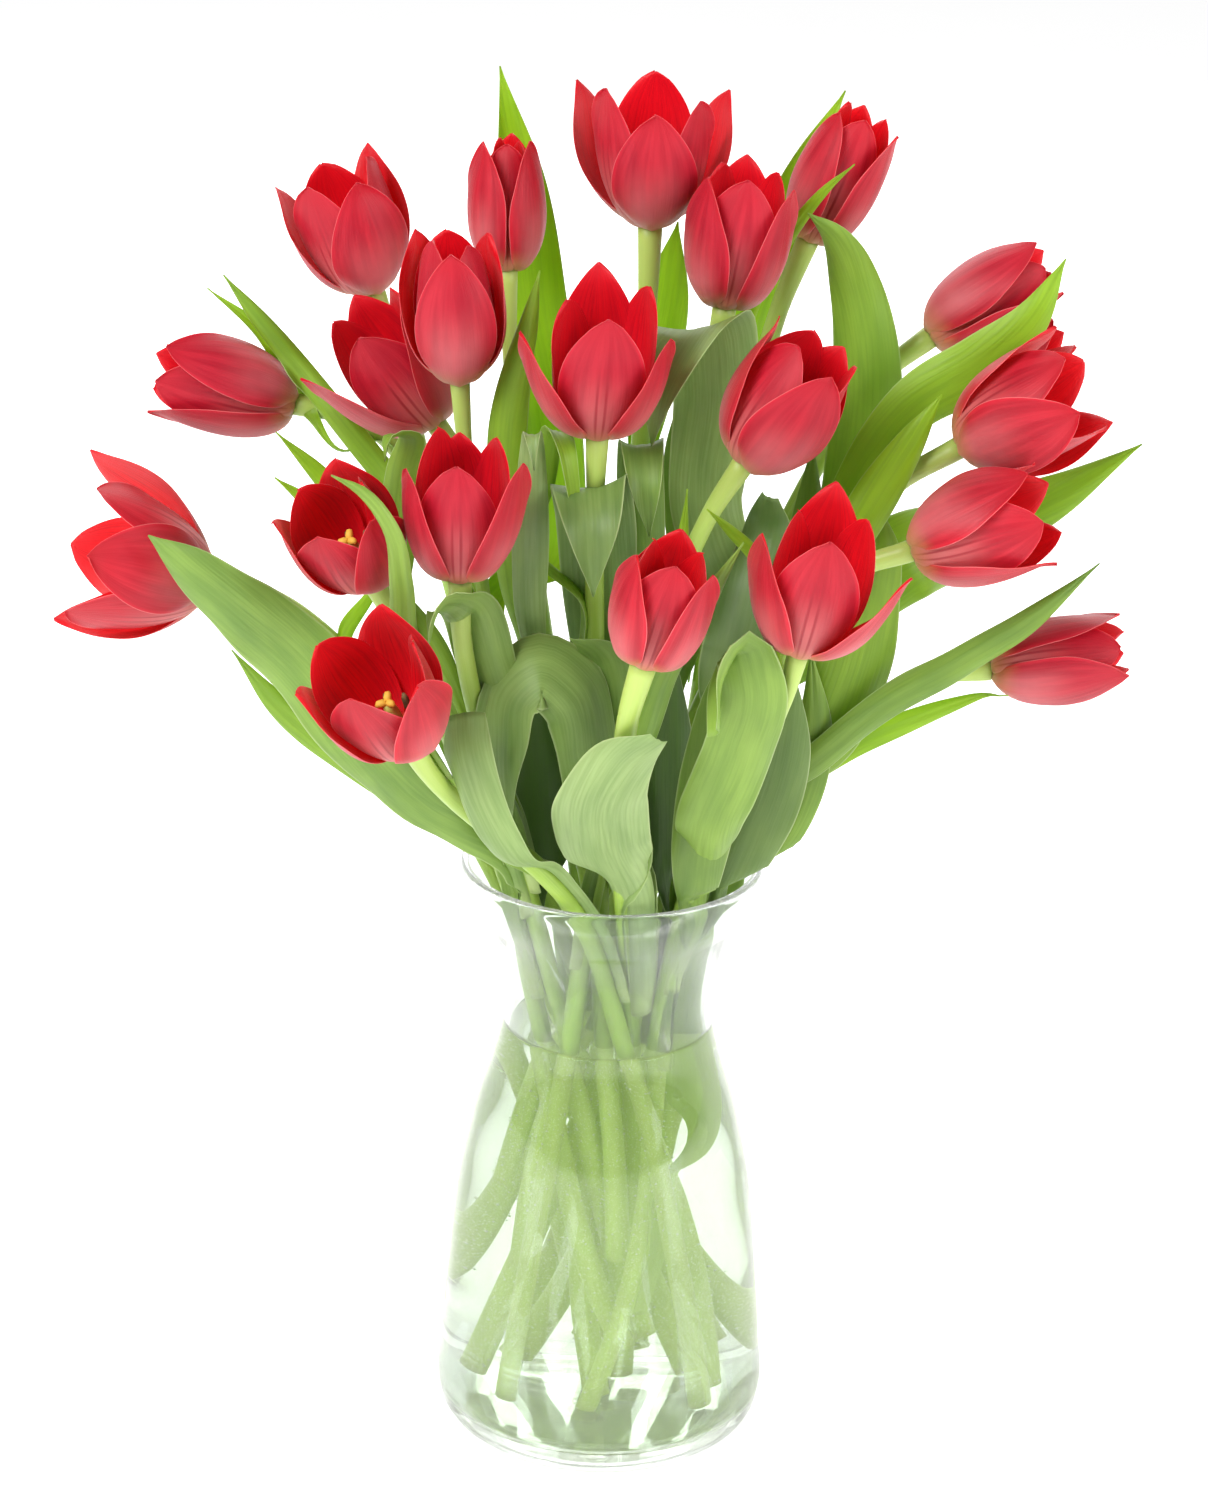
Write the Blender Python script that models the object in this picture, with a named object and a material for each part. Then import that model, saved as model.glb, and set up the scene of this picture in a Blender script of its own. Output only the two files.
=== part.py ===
"""Cut tulips in a clear glass hourglass vase with water: solids for size, rest and collision.

Frame: metres, +Z up, the origin at the centre of the vase's flat underside, -Y the front.
The tables are in millimetres, because flowers and leaves are placed by hand to the millimetre.
"""
import math

import bmesh
import bpy
import numpy as np
from mathutils import Matrix, Vector

for old in list(bpy.data.objects):
    bpy.data.objects.remove(old, do_unlink=True)

# ---------------------------------------------------------------- driving dimensions, millimetres
MM = 0.001
GAP = 0.35                 # kept between any two solids
VASE_OUTSIDE = [           # height, radius of the outside, from the foot's rounded corner to the lip
    (0, 48.5), (1.5, 51.8), (4.5, 54.3), (9, 55.6), (28, 54.9), (58, 52.5), (86, 49.7),
    (101, 46.9), (116, 43.5), (130, 39.1), (141, 36.2), (152, 34.9), (163, 35.7), (174, 38.0),
    (183, 41.8), (190, 46.0), (197, 49.0), (202, 49.9)]
VASE_HEIGHT = 205.0
WALL = 2.6
FLOOR = 7.5                # thickness of the glass under the water
WATER_LEVEL = 145.0
VASE_SIDES = 32
STEM_R = 3.2
STEM_SIDES = 6
STEM_RINGS = 18
STEM_GAP = 2.1             # asked for between two stems; once they have settled, 0.5 is left
WALL_GAP = 0.8             # asked for between a stem and the glass
STEM_CONTROLS = 9          # control points of a stem's spline: the fewer, the straighter
STIFFNESS = 0.05
FOOT_LIFT = 1.9            # how far a stem's foot stands off the glass floor, as it is cut square
RIM = (205.0, 39.0)        # height of the rim, and how far out a stem may first pass it
NECK = (152.0, 26.0)       # the same at the neck
LEAF_THICK = 0.9
LEAF_FOOT = 3.0            # width of a leaf where it leaves its stem

# base x y z | lean to the right, nod to the front (degrees) | length, belly radius |
# flare (degrees), roll (degrees) | foot x y z
TULIPS = [
    ((-81, 24, 390), (-18, 5), (44, 15.0), (9, 20), (22, 4, 9)),
    ((-38, 14, 401), (-1, 0), (43, 12.5), (-2, 60), (4, 30, 12)),
    ((-51, -34, 378), (-4, 5), (47, 14.5), (2, 0), (3, 38, 9)),
    ((7, 15, 416), (0, 4), (46, 15.0), (13, 0), (2, 4, 9)),
    ((31, -5, 396), (8, 5), (45, 14.5), (5, 60), (-14, 42, 12)),
    ((58, 30, 409), (21, 5), (46, 13.0), (2, 60), (-8, 24, 20)),
    ((-106, 12, 355), (-74, 10), (46, 14.0), (3, 60), (15, 25, 9)),
    ((-60, 2, 353), (-34, 8), (46, 14.5), (8, 60), (16, 40, 9)),
    ((-8, -45, 365), (1, 10), (44, 14.5), (14, 60), (-6, -5, 65)),
    ((38, -40, 356), (30, 10), (47, 16.0), (4, 20), (-24, -8, 9)),
    ((99, 32, 377), (54, 0), (45, 13.5), (0, 60), (-20, 0, 85)),
    ((106, 50, 354), (58, 0), (44, 13.5), (6, 30), (-13, -5, 60)),
    ((106, -20, 356), (57, 8), (46, 15.0), (11, 0), (-26, 14, 9)),
    ((91, -45, 330), (67, 8), (45, 14.5), (9, 60), (-15, 30, 9)),
    ((121, -10, 278), (80, 0), (44, 13.0), (3, 30), (-30, 35, 9)),
    ((55, -85, 310), (10, 10), (47, 14.5), (13, 60), (-3, -12, 9)),
    ((8, -100, 311), (14, 12), (41, 14.0), (4, 60), (8, 22, 9)),
    ((-49, -70, 326), (1, 8), (45, 14.0), (7, 60), (8, 10, 30)),
    ((-77, -60, 322), (-22, 30), (40, 14.5), (9, 40), (14, -2, 30)),
    ((-63, -95, 281), (-20, 30), (45, 15.0), (13, 40), (27, -12, 9)),
    ((-130, -20, 305), (-74, 10), (48, 15.5), (20, 20), (28, 28, 9)),
]

# the stem that carries it: its number, the height there, and the side of it (degrees from +X) |
# turn of the blade about its midrib (degrees; 0 faces the front) | curl of its edges |
# x y z and width of the places along its midrib
LEAVES = {
    "tall_back": ((3, 300, 60), 0, 0.5, [
        (-21, 12, 304, 14), (-23, 27, 345, 21), (-31, 35, 385, 25), (-35, 38, 425, 17),
        (-42, 37, 461, 0)]),
    "right_broad": ((13, 278, 30), 0, 0.4, [
        (71, 4, 309, 20), (77, 8, 342, 24), (78, 10, 372, 23), (73, 10, 398, 18),
        (65, 2, 417, 9), (56, -4, 426, 0)]),
    "right_light": ((13, 305, 90), 0, 0.3, [
        (73, -9, 337, 13), (91, -6, 364, 18), (113, -5, 379, 20), (127, -5, 393, 13),
        (137, -6, 414, 0)]),
    "right_low_light": ((13, 273, 315), 0, 0.4, [
        (69, -29, 319, 13), (81, -28, 343, 15), (91, -28, 361, 10), (99, -26, 375, 0)]),
    "right_wide": ((13, 260, 90), 0, 0.4, [
        (66, 16, 281, 24), (94, 15, 307, 31), (119, 42, 308, 25), (144, 34, 324, 15),
        (170, 33, 342, 0)]),
    "right_long": ((13, 219, 255), 0, 0.4, [
        (63, -25, 249, 11), (86, -25, 270, 12), (108, -25, 284, 12), (131, -25, 300, 9),
        (152, -24, 320, 0)]),
    "right_drop": ((13, 229, 30), 0, 0.3, [
        (65, -19, 252, 22), (76, -18, 279, 26), (80, -16, 301, 22), (82, -12, 323, 15),
        (80, -1, 331, 5)]),
    "dark_broad": ((14, 269, 135), 0, 0.3, [
        (38, -36, 273, 22), (42, -33, 310, 24), (46, -24, 328, 16), (46, -39, 344, 6)]),
    "big_fold": ((14, 278, 135), 0, 0.3, [
        (27, -9, 333, 24), (29, -8, 369, 28), (25, -18, 392, 30), (19, -34, 391, 27),
        (12, -39, 377, 17), (9, -36, 359, 0)]),
    "arch_fold": ((17, 213, 60), 60, 0.25, [
        (-7, -54, 261, 25), (-13, -60, 286, 27), (-24, -62, 294, 27), (-34, -63, 286, 24),
        (-36, -67, 270, 18), (-34, -66, 246, 6)]),
    "rolled": ((16, 218, 45), 0, 0.3, [
        (33, -44, 234, 22), (39, -58, 266, 22), (41, -72, 294, 20), (37, -80, 308, 18),
        (32, -83, 300, 18), (32, -94, 286, 12)]),
    "front_light": ((17, 209, 300), 0, 0.3, [
        (-3, -76, 241, 26), (-3, -91, 261, 25), (2, -94, 276, 20), (9, -99, 284, 10)]),
    "front_left_light": ((20, 217, 345), 20, 0.4, [
        (-33, -82, 240, 13), (-43, -87, 263, 17), (-47, -85, 276, 19), (-48, -79, 285, 15)]),
    "left_broad": ((18, 222, 165), 0, 0.3, [
        (-59, -46, 240, 20), (-80, -59, 268, 27), (-99, -48, 288, 28), (-119, -57, 310, 22),
        (-133, -58, 322, 16), (-146, -55, 332, 0)]),
    "left_under": ((19, 212, 285), 0, 0.3, [
        (-61, -34, 234, 10), (-88, -34, 252, 12), (-107, -39, 270, 9), (-122, -39, 289, 0)]),
    "left_tall": ((3, 305, 150), 0, 0.5, [
        (-76, -1, 336, 9), (-91, 2, 354, 9), (-105, 7, 370, 8), (-118, 7, 386, 6),
        (-128, 9, 398, 0)]),
}

# shape of every petal: angle of its midrib to the flower's axis, and how far a flare reaches it
CUP_AT = (0, .06, .16, .32, .5, .7, .88, 1)
CUP_DEG = (90, 68, 42, 16, 0, -10, -15, -8)
FLARE_SHARE = (0, .15, .5, .9, 1, 1, 1.1, 1.3)
RECEPTACLE_R = 2.6


# ---------------------------------------------------------------- curves and frames
def curve(knots, values, t):
    """Cubic curve through values at knots, with the neighbours' differences as its slopes."""
    knots = np.asarray(knots, float)
    values = np.asarray(values, float)
    slopes = np.gradient(values, knots, axis=0)
    i = np.clip(np.searchsorted(knots, t, side="right") - 1, 0, len(knots) - 2)
    span = knots[i + 1] - knots[i]
    u = (t - knots[i]) / span
    if values.ndim > 1:
        span = span[..., None]
        u = u[..., None]
    start = values[i] * (1 + 2 * u) * (1 - u) ** 2 + slopes[i] * span * u * (1 - u) ** 2
    end = values[i + 1] * u * u * (3 - 2 * u) - slopes[i + 1] * span * u * u * (1 - u)
    return start + end


def unit(v):
    """Vectors of length one along the last axis."""
    return v / np.maximum(np.linalg.norm(v, axis=-1, keepdims=True), 1e-9)


def run_length(points):
    """Length along a polyline up to each of its points."""
    steps = np.linalg.norm(np.diff(points, axis=0), axis=1)
    return np.concatenate([[0.0], np.cumsum(steps)])


def along(points, count):
    """The same path with evenly spaced points."""
    run = run_length(points)
    want = np.linspace(0, run[-1], count)
    return np.stack([np.interp(want, run, column) for column in points.T], -1)


def carried_frames(path, first):
    """Tangents of a path, and the first direction carried along it without twist."""
    tangent = unit(np.gradient(path, axis=0))
    across = np.zeros_like(path)
    across[0] = unit(first - tangent[0] * (first @ tangent[0]))
    for i in range(1, len(path)):
        carried = across[i - 1] - tangent[i] * (across[i - 1] @ tangent[i])
        across[i] = unit(carried)
    return tangent, across


def flower_frame(lean, nod):
    """Axis of a flower, and the two directions square to it: to the front, and to its side."""
    lean, nod = math.radians(lean), math.radians(nod)
    axis = np.array([math.sin(lean) * math.cos(nod), -math.sin(nod),
                     math.cos(lean) * math.cos(nod)])
    front = np.array([0.0, -1.0, 0.0])
    front = unit(front - axis * (front @ axis))
    return axis, front, np.cross(axis, front)


# ---------------------------------------------------------------- stems
def inner_radius(height):
    """Radius of the vase's inside at a height."""
    heights, radii = np.array(VASE_OUTSIDE, float).T
    return np.interp(height, heights, radii) - WALL


def stem_guess(tulip, count):
    """A stem before it settles: straight from its foot to the rim, then to the flower's axis."""
    base = np.array(tulip[0], float)
    foot = np.array(tulip[4], float)
    foot[2] = max(foot[2], FLOOR + FOOT_LIFT)
    axis = flower_frame(*tulip[1])[0]
    tail = base - axis * min(0.3 * (base[2] - NECK[0]), 40)
    knots = [foot, tail, base]
    for height, most in (RIM, NECK):
        place = foot + (knots[1] - foot) * (height - foot[2]) / (knots[1][2] - foot[2])
        place[:2] *= min(1, most / math.hypot(place[0], place[1]))
        knots.insert(1, place)
    knots = np.array(knots)
    run = run_length(knots)
    return along(curve(run, knots, np.linspace(0, run[-1], 200)), count)


def smooth_push(push, times):
    """Spread a shift along each stem."""
    for _ in range(times):
        push[:, 1:-1] = (push[:, :-2] + 2 * push[:, 1:-1] + push[:, 2:]) / 4
    return push


def flower_balls():
    """Three balls in each flower's cup: their centres and radii, for what must pass around it."""
    centres, radii = [], []
    for base, lean, (length, belly), _, _ in TULIPS:
        axis = flower_frame(*lean)[0]
        for share, swell in ((0.2, -1.5), (0.45, 0.5), (0.72, 0.0)):
            centres.append(np.array(base, float) + axis * length * share)
            radii.append(belly + swell)
    return np.array(centres), np.array(radii)


def spline_shares(count, controls):
    """How much each control point of a cubic B-spline with clamped ends moves each of its points."""
    knots = np.concatenate([[0, 0, 0], np.linspace(0, 1, controls - 2), [1, 1, 1]])
    t = np.linspace(0, 1, count)[:, None]
    shares = ((knots[:-1] <= t) & (t < knots[1:])).astype(float)
    shares[-1, controls - 1] = 1
    for order in (1, 2, 3):
        width = knots[order:] - knots[:-order]
        width = np.where(width > 0, width, np.inf)
        rising = (t - knots[:-order - 1]) / width[:-1] * shares[:, :-1]
        falling = (knots[order + 1:] - t) / width[1:] * shares[:, 1:]
        shares = rising + falling
    return shares


def settled_stems(count=64, rounds=240):
    """Stems pushed apart, off the glass and around the flowers, each as stiff as a spline.

    Each round finds the pairs of points closer than two radii and the gap and moves both out by
    half the lack, moves what is inside another's flower out of it, and draws in what passes the
    glass. The moves are fitted to the control points, whose second differences a weaker pull makes
    smaller, so that a stem stays as straight as the others let it.
    """
    shares = spline_shares(count, STEM_CONTROLS)
    guesses = np.array([stem_guess(tulip, count) for tulip in TULIPS])
    shape = np.einsum("ij,njk->nik", np.linalg.pinv(shares), guesses)
    fit = np.linalg.pinv(shares[:, :-2])
    bend = np.diff(np.eye(STEM_CONTROLS), 2, axis=0)
    bend = (bend.T @ bend)[:-2]
    feet = shape[:, 0].copy()
    balls, ball_r = flower_balls()
    owner = np.repeat(np.arange(len(TULIPS)), 3)
    others = owner[None, :] != np.arange(len(TULIPS))[:, None]
    least = 2 * STEM_R + STEM_GAP
    one, two = np.triu_indices(len(TULIPS), 1)
    for turn in range(rounds):
        path = np.einsum("ij,njk->nik", shares, shape)
        push = np.zeros_like(path)
        hits = np.zeros(path.shape[:2] + (1,))
        apart = path[one][:, :, None, :] - path[two][:, None, :, :]
        distance = np.sqrt((apart * apart).sum(-1))
        pair, i, j = np.nonzero(distance < least)
        near = distance[pair, i, j][:, None]
        away = apart[pair, i, j] / np.maximum(near, 1e-6) * (least - near) / 2
        np.add.at(push, (one[pair], i), away)
        np.add.at(push, (two[pair], j), -away)
        np.add.at(hits, (one[pair], i), 1)
        np.add.at(hits, (two[pair], j), 1)
        push /= np.maximum(hits, 1)
        apart = path[:, :, None, :] - balls
        distance = np.linalg.norm(apart, axis=-1)
        lack = np.where(others[:, None], ball_r + STEM_R + 1.5 - distance, 0).clip(min=0)
        push += (apart / distance[..., None] * lack[..., None]).sum(2) * 0.5
        push[:, -6:] = 0
        reach = np.hypot(path[..., 0], path[..., 1])
        above = (path[..., 2] - VASE_HEIGHT - 3).clip(min=0)
        room = inner_radius(path[..., 2]) - STEM_R - WALL_GAP + above * 1.5
        over = (reach - room).clip(min=0)
        push[..., :2] -= path[..., :2] * (over / np.maximum(reach, 1e-6))[..., None] * 1.2
        shape[:, :-2] += 3 * np.einsum("ij,njk->nik", fit, smooth_push(push, 3))
        pull = min(1, max(0, (0.95 - turn / rounds) * 4))
        shape[:, :-2] -= STIFFNESS * pull * np.einsum("ij,njk->nik", bend, shape)
        shape[:, 0] += 0.03 * pull * (feet - shape[:, 0])
        shape[:, 0, 2] = feet[:, 2]
    return np.einsum("ij,njk->nik", shares, shape)


# ---------------------------------------------------------------- meshes and objects
def material(name, color, roughness, metallic=0.0, transmission=0.0):
    """A Principled material."""
    mat = bpy.data.materials.new(name)
    mat.use_nodes = True
    shader = mat.node_tree.nodes["Principled BSDF"]
    shader.inputs["Base Color"].default_value = (*color, 1.0)
    shader.inputs["Roughness"].default_value = roughness
    shader.inputs["Metallic"].default_value = metallic
    shader.inputs["Transmission Weight"].default_value = transmission
    mat.diffuse_color = (*color, 1.0)
    return mat


def add_object(name, points, faces, mat, place=None):
    """An object from points in millimetres, its origin and axes at the given place."""
    place = place or Matrix()
    to_local = place.inverted()
    mesh = bpy.data.meshes.new(name)
    vertices = [to_local @ (Vector(point) * MM) for point in np.asarray(points).reshape(-1, 3)]
    mesh.from_pydata(vertices, [], faces)
    work = bmesh.new()
    work.from_mesh(mesh)
    bmesh.ops.recalc_face_normals(work, faces=work.faces)
    work.to_mesh(mesh)
    work.free()
    mesh.materials.append(mat)
    obj = bpy.data.objects.new(name, mesh)
    bpy.context.scene.collection.objects.link(obj)
    obj.location = place.to_translation()
    obj.rotation_euler = place.to_euler()
    mesh.shade_smooth()
    mesh.set_sharp_from_angle(angle=math.radians(50))
    return obj


def ring_faces(rings, sides, first=0):
    """Quads between successive closed rings of points."""
    faces = []
    for i in range(rings - 1):
        for j in range(sides):
            a, b = first + i * sides + j, first + i * sides + (j + 1) % sides
            faces.append((a, b, b + sides, a + sides))
    return faces


def turned(name, profile, mat):
    """A solid turned about Z: an open profile whose two ends lie on the axis."""
    mesh = bpy.data.meshes.new(name)
    work = bmesh.new()
    row = [work.verts.new((radius * MM, 0, height * MM)) for height, radius in profile]
    edges = [work.edges.new(pair) for pair in zip(row, row[1:])]
    bmesh.ops.spin(work, geom=row + edges, cent=(0, 0, 0), axis=(0, 0, 1), angle=math.tau,
                   steps=VASE_SIDES, use_merge=True)
    bmesh.ops.remove_doubles(work, verts=work.verts, dist=0.01 * MM)
    bmesh.ops.recalc_face_normals(work, faces=work.faces)
    work.to_mesh(mesh)
    work.free()
    mesh.materials.append(mat)
    obj = bpy.data.objects.new(name, mesh)
    bpy.context.scene.collection.objects.link(obj)
    mesh.shade_smooth()
    mesh.set_sharp_from_angle(angle=math.radians(50))
    return obj


def tube(name, path, radii, mat, place=None):
    """A round closed tube along a path, square at both ends."""
    tangent, across = carried_frames(path, np.array([1.0, 0.3, 0.0]))
    up = np.cross(tangent, across)
    angle = np.arange(STEM_SIDES) * math.tau / STEM_SIDES
    ring = across[:, None] * np.cos(angle)[:, None] + up[:, None] * np.sin(angle)[:, None]
    points = path[:, None] + ring * np.asarray(radii)[:, None, None]
    faces = ring_faces(len(path), STEM_SIDES)
    last = (len(path) - 1) * STEM_SIDES
    faces.append(tuple(range(STEM_SIDES)))
    faces.append(tuple(last + j for j in range(STEM_SIDES)))
    return add_object(name, points, faces, mat, place)


# ---------------------------------------------------------------- vase and water
def make_vase():
    """Blown glass, one wall turned about Z, with a thick floor and a rounded lip."""
    inside = [(height, radius - WALL) for height, radius in VASE_OUTSIDE if height > FLOOR + 4]
    lip_out = VASE_OUTSIDE[-1][1]
    lip = [(VASE_HEIGHT - 0.6, lip_out - 0.3), (VASE_HEIGHT, lip_out - WALL / 2),
           (VASE_HEIGHT - 0.6, lip_out - WALL + 0.3)]
    corner = inner_radius(FLOOR + 4)
    bottom = [(FLOOR + 4, corner), (FLOOR + 1.2, corner - 1.8), (FLOOR, corner - 6), (FLOOR, 0)]
    profile = [(0, 0)] + VASE_OUTSIDE + lip + inside[::-1] + bottom
    glass = material("clear_glass", (0.86, 0.90, 0.86), 0.02, transmission=0.9)
    return turned("vase", profile, glass)


def make_water(paths):
    """Water up to its level, with a channel for each stem that stands in it."""
    heights = [FLOOR + 4] + [h for h, _ in VASE_OUTSIDE if FLOOR + 4 < h < WATER_LEVEL - 2]
    side = [(height, float(inner_radius(height)) - GAP) for height in heights]
    top = float(inner_radius(WATER_LEVEL)) - GAP
    corner = side[0][1]
    floor = FLOOR + GAP
    profile = [(floor, 0), (floor, corner - 6), (FLOOR + 1.5, corner - 1.8)] + side
    profile += [(WATER_LEVEL, top), (WATER_LEVEL, 0)]
    water = turned("water", profile, material("water", (0.80, 0.88, 0.80), 0.02, transmission=0.9))
    for number, path in enumerate(paths, 1):
        start = path[0] - unit(path[1] - path[0]) * GAP
        channel = tube(f"channel_{number:02d}", np.concatenate([[start], path[1:]]),
                       [STEM_R + GAP + 0.15] * len(path), water.data.materials[0])
        channel.hide_render = True
        channel.display_type = "WIRE"
        cut = water.modifiers.new(channel.name, "BOOLEAN")
        cut.operation = "DIFFERENCE"
        cut.solver = "EXACT"
        cut.object = channel
    return water


# ---------------------------------------------------------------- flowers
def head_profile(length, belly, flare, count):
    """Radius and height along a petal's midrib, from the stem to the tip."""
    share = np.linspace(0, 1, 121)
    cup = np.radians(curve(CUP_AT, CUP_DEG, share))
    out = np.radians(flare * curve(CUP_AT, FLARE_SHARE, share))
    step = length / 120 * 1.12
    bulge = np.concatenate([[0.0], np.cumsum(np.sin(cup[:-1]))]) * step
    opening = np.concatenate([[0.0], np.cumsum(np.sin(out[:-1]))]) * step
    rise = np.concatenate([[0.0], np.cumsum(np.cos(cup[:-1] + out[:-1]))]) * step
    radius = RECEPTACLE_R + bulge * (belly - RECEPTACLE_R) / bulge.max() + opening
    want = np.array([0, .05, .12, .22, .36, .55, .75, .9])[:count]
    return np.interp(want, share, radius), np.interp(want, share, rise)


def make_flower(name, tulip, mat):
    """A tulip's six petals as one closed cup: six points on its edge and a dished mouth."""
    base, (lean, nod), (length, belly), (flare, roll), _ = tulip
    axis, front, side = flower_frame(lean, nod)
    radius, rise = head_profile(length, belly, flare, 8)
    sides = 12
    angle = np.radians(roll) + np.arange(sides) * math.tau / sides
    tips = np.arange(sides) % 2 == 0
    rings = []
    for r, h in zip(radius, rise):
        rings.append((np.full(sides, r), np.full(sides, h)))
    rings[0] = (rings[0][0], np.full(sides, 0.0))
    rings[-1] = (rings[-1][0], np.where(tips, rise[-1], rise[-1] - 0.10 * length))
    rings.append((np.full(sides, radius[-1] * 0.72), np.full(sides, rise[-1] - 0.2 * length)))
    rings.append((np.full(sides, radius[-1] * 0.3), np.full(sides, rise[-1] - 0.3 * length)))
    points = []
    for r, h in rings:
        flat = front * (r * np.cos(angle))[:, None] + side * (r * np.sin(angle))[:, None]
        points.append(np.array(base, float) + flat + axis * h[:, None])
    faces = ring_faces(len(rings), sides)
    faces.append(tuple(range(sides)))
    faces.append(tuple((len(rings) - 1) * sides + j for j in range(sides)))
    turn = Matrix((front, side, axis)).transposed().to_4x4()
    place = Matrix.Translation(Vector(base) * MM) @ turn
    return add_object(name, np.concatenate(points), faces, mat, place)


# ---------------------------------------------------------------- leaves
def leaf_grid(leaf, paths, rows, columns):
    """Points of a leaf, rows along its midrib and columns across it.

    The midrib starts beside the stem that carries it and runs through the leaf's places. The
    blade's cross-section is an arc that curls away from its face.
    """
    (tulip, height, side), turn, curl, spine = leaf
    stem = paths[tulip - 1]
    foot = np.array([np.interp(height, stem[:, 2], column) for column in stem.T])
    spine = np.array([(*foot, LEAF_FOOT)] + spine, float)
    places, widths = spine[:, :3], spine[:, 3]
    side = math.radians(side)
    outward = np.array([math.cos(side), math.sin(side), 0.0])
    start = unit(places[1] - places[0])
    across = unit(np.cross([0.0, 1.0, 0.0], start))
    face = np.cross(across, start)
    turn = math.radians(turn)
    across = across * math.cos(turn) + face * math.sin(turn)
    face = np.cross(across, start)
    reach = abs(across @ outward) * LEAF_FOOT / 2 + abs(face @ outward) * LEAF_THICK / 2
    places[0] += outward * (STEM_R + GAP + 0.25 + reach)
    run = run_length(places)
    want = np.linspace(0, run[-1], rows)
    middle = curve(run, places, want)
    half = np.maximum(curve(run, widths, want), 0.8) / 2
    tangent, across = carried_frames(middle, across)
    face = np.cross(across, tangent)
    angle = np.linspace(-1, 1, columns) * curl * 1.5
    spread = half[:, None] * np.sin(angle) / (curl * 1.5)
    drop = half[:, None] * (1 - np.cos(angle)) / (curl * 1.5)
    return middle[:, None] + across[:, None] * spread[..., None] - face[:, None] * drop[..., None]


def make_leaf(name, leaf, paths, mat):
    """A leaf as a thin solid blade."""
    rows, columns = 12, 4
    grid = leaf_grid(leaf, paths, rows, columns)
    faces = []
    for i in range(rows - 1):
        for j in range(columns - 1):
            a = i * columns + j
            faces.append((a, a + 1, a + 1 + columns, a + columns))
    place = Matrix.Translation(Vector(grid[0, 0]) * MM)
    obj = add_object(name, grid, faces, mat, place)
    thick = obj.modifiers.new("thickness", "SOLIDIFY")
    thick.thickness = LEAF_THICK * MM
    thick.offset = 0.0
    return obj


# ---------------------------------------------------------------- the whole bouquet
def main():
    holder = bpy.data.objects.new("tulips_in_vase", None)
    bpy.context.scene.collection.objects.link(holder)
    paths = settled_stems()
    coarse = np.array([along(path, STEM_RINGS) for path in paths])
    pieces = [make_vase(), make_water(coarse)]
    stem_green = material("stem_green", (0.38, 0.52, 0.14), 0.5)
    petal_red = material("petal_red", (0.62, 0.02, 0.05), 0.45)
    leaf_green = material("leaf_green", (0.16, 0.32, 0.08), 0.5)
    for number, (path, tulip) in enumerate(zip(coarse, TULIPS), 1):
        top = np.array(tulip[0], float)
        axis = flower_frame(*tulip[1])[0]
        path[-1] = top - axis * 1.5 * GAP
        place = Matrix.Translation(Vector(path[0]) * MM)
        radii = np.full(len(path), STEM_R)
        pieces.append(tube(f"stem_{number:02d}", path, radii, stem_green, place))
        pieces.append(make_flower(f"flower_{number:02d}", tulip, petal_red))
    for name, leaf in LEAVES.items():
        pieces.append(make_leaf(f"leaf_{name}", leaf, coarse, leaf_green))
    for piece in pieces:
        piece.parent = holder


main()
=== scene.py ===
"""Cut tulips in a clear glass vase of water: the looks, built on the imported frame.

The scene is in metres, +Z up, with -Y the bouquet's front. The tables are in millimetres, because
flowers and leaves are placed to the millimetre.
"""
import math

import bpy
import numpy as np
from mathutils import Matrix, Vector


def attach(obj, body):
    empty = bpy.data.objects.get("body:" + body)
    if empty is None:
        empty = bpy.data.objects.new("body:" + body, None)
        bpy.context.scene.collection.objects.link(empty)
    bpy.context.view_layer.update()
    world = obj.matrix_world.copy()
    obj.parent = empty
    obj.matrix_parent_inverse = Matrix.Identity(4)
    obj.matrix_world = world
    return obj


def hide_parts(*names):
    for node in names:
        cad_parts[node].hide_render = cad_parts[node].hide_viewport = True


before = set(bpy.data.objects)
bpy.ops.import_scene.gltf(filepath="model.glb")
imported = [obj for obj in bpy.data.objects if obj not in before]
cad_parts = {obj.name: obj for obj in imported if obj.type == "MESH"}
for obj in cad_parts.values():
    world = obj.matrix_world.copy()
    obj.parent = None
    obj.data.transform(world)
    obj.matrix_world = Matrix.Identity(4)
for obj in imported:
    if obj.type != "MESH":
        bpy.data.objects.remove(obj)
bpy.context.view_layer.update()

# ------------------------------------------------------------------ the table, the light, the view
# The vase stands on a white table in a bright room: one broad soft window high on the left, weaker
# ones on the right and behind, and white all round, which the glass and the water mirror and bend.
VIEW_AT = (-0.0035, -1.33, 0.768)
VIEW_DOWN = 21.55          # degrees below the horizon
VIEW_ROLL = 1.43
VIEW_LENS = 104.5
KEY_WATTS = 48.0
FILL_WATTS = 20.0
BACK_WATTS = 26.0
ROOM_LIGHT = 0.36          # how bright the white room lights things
ROOM_SEEN = 1.0            # how bright it looks, also through the glass


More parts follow.
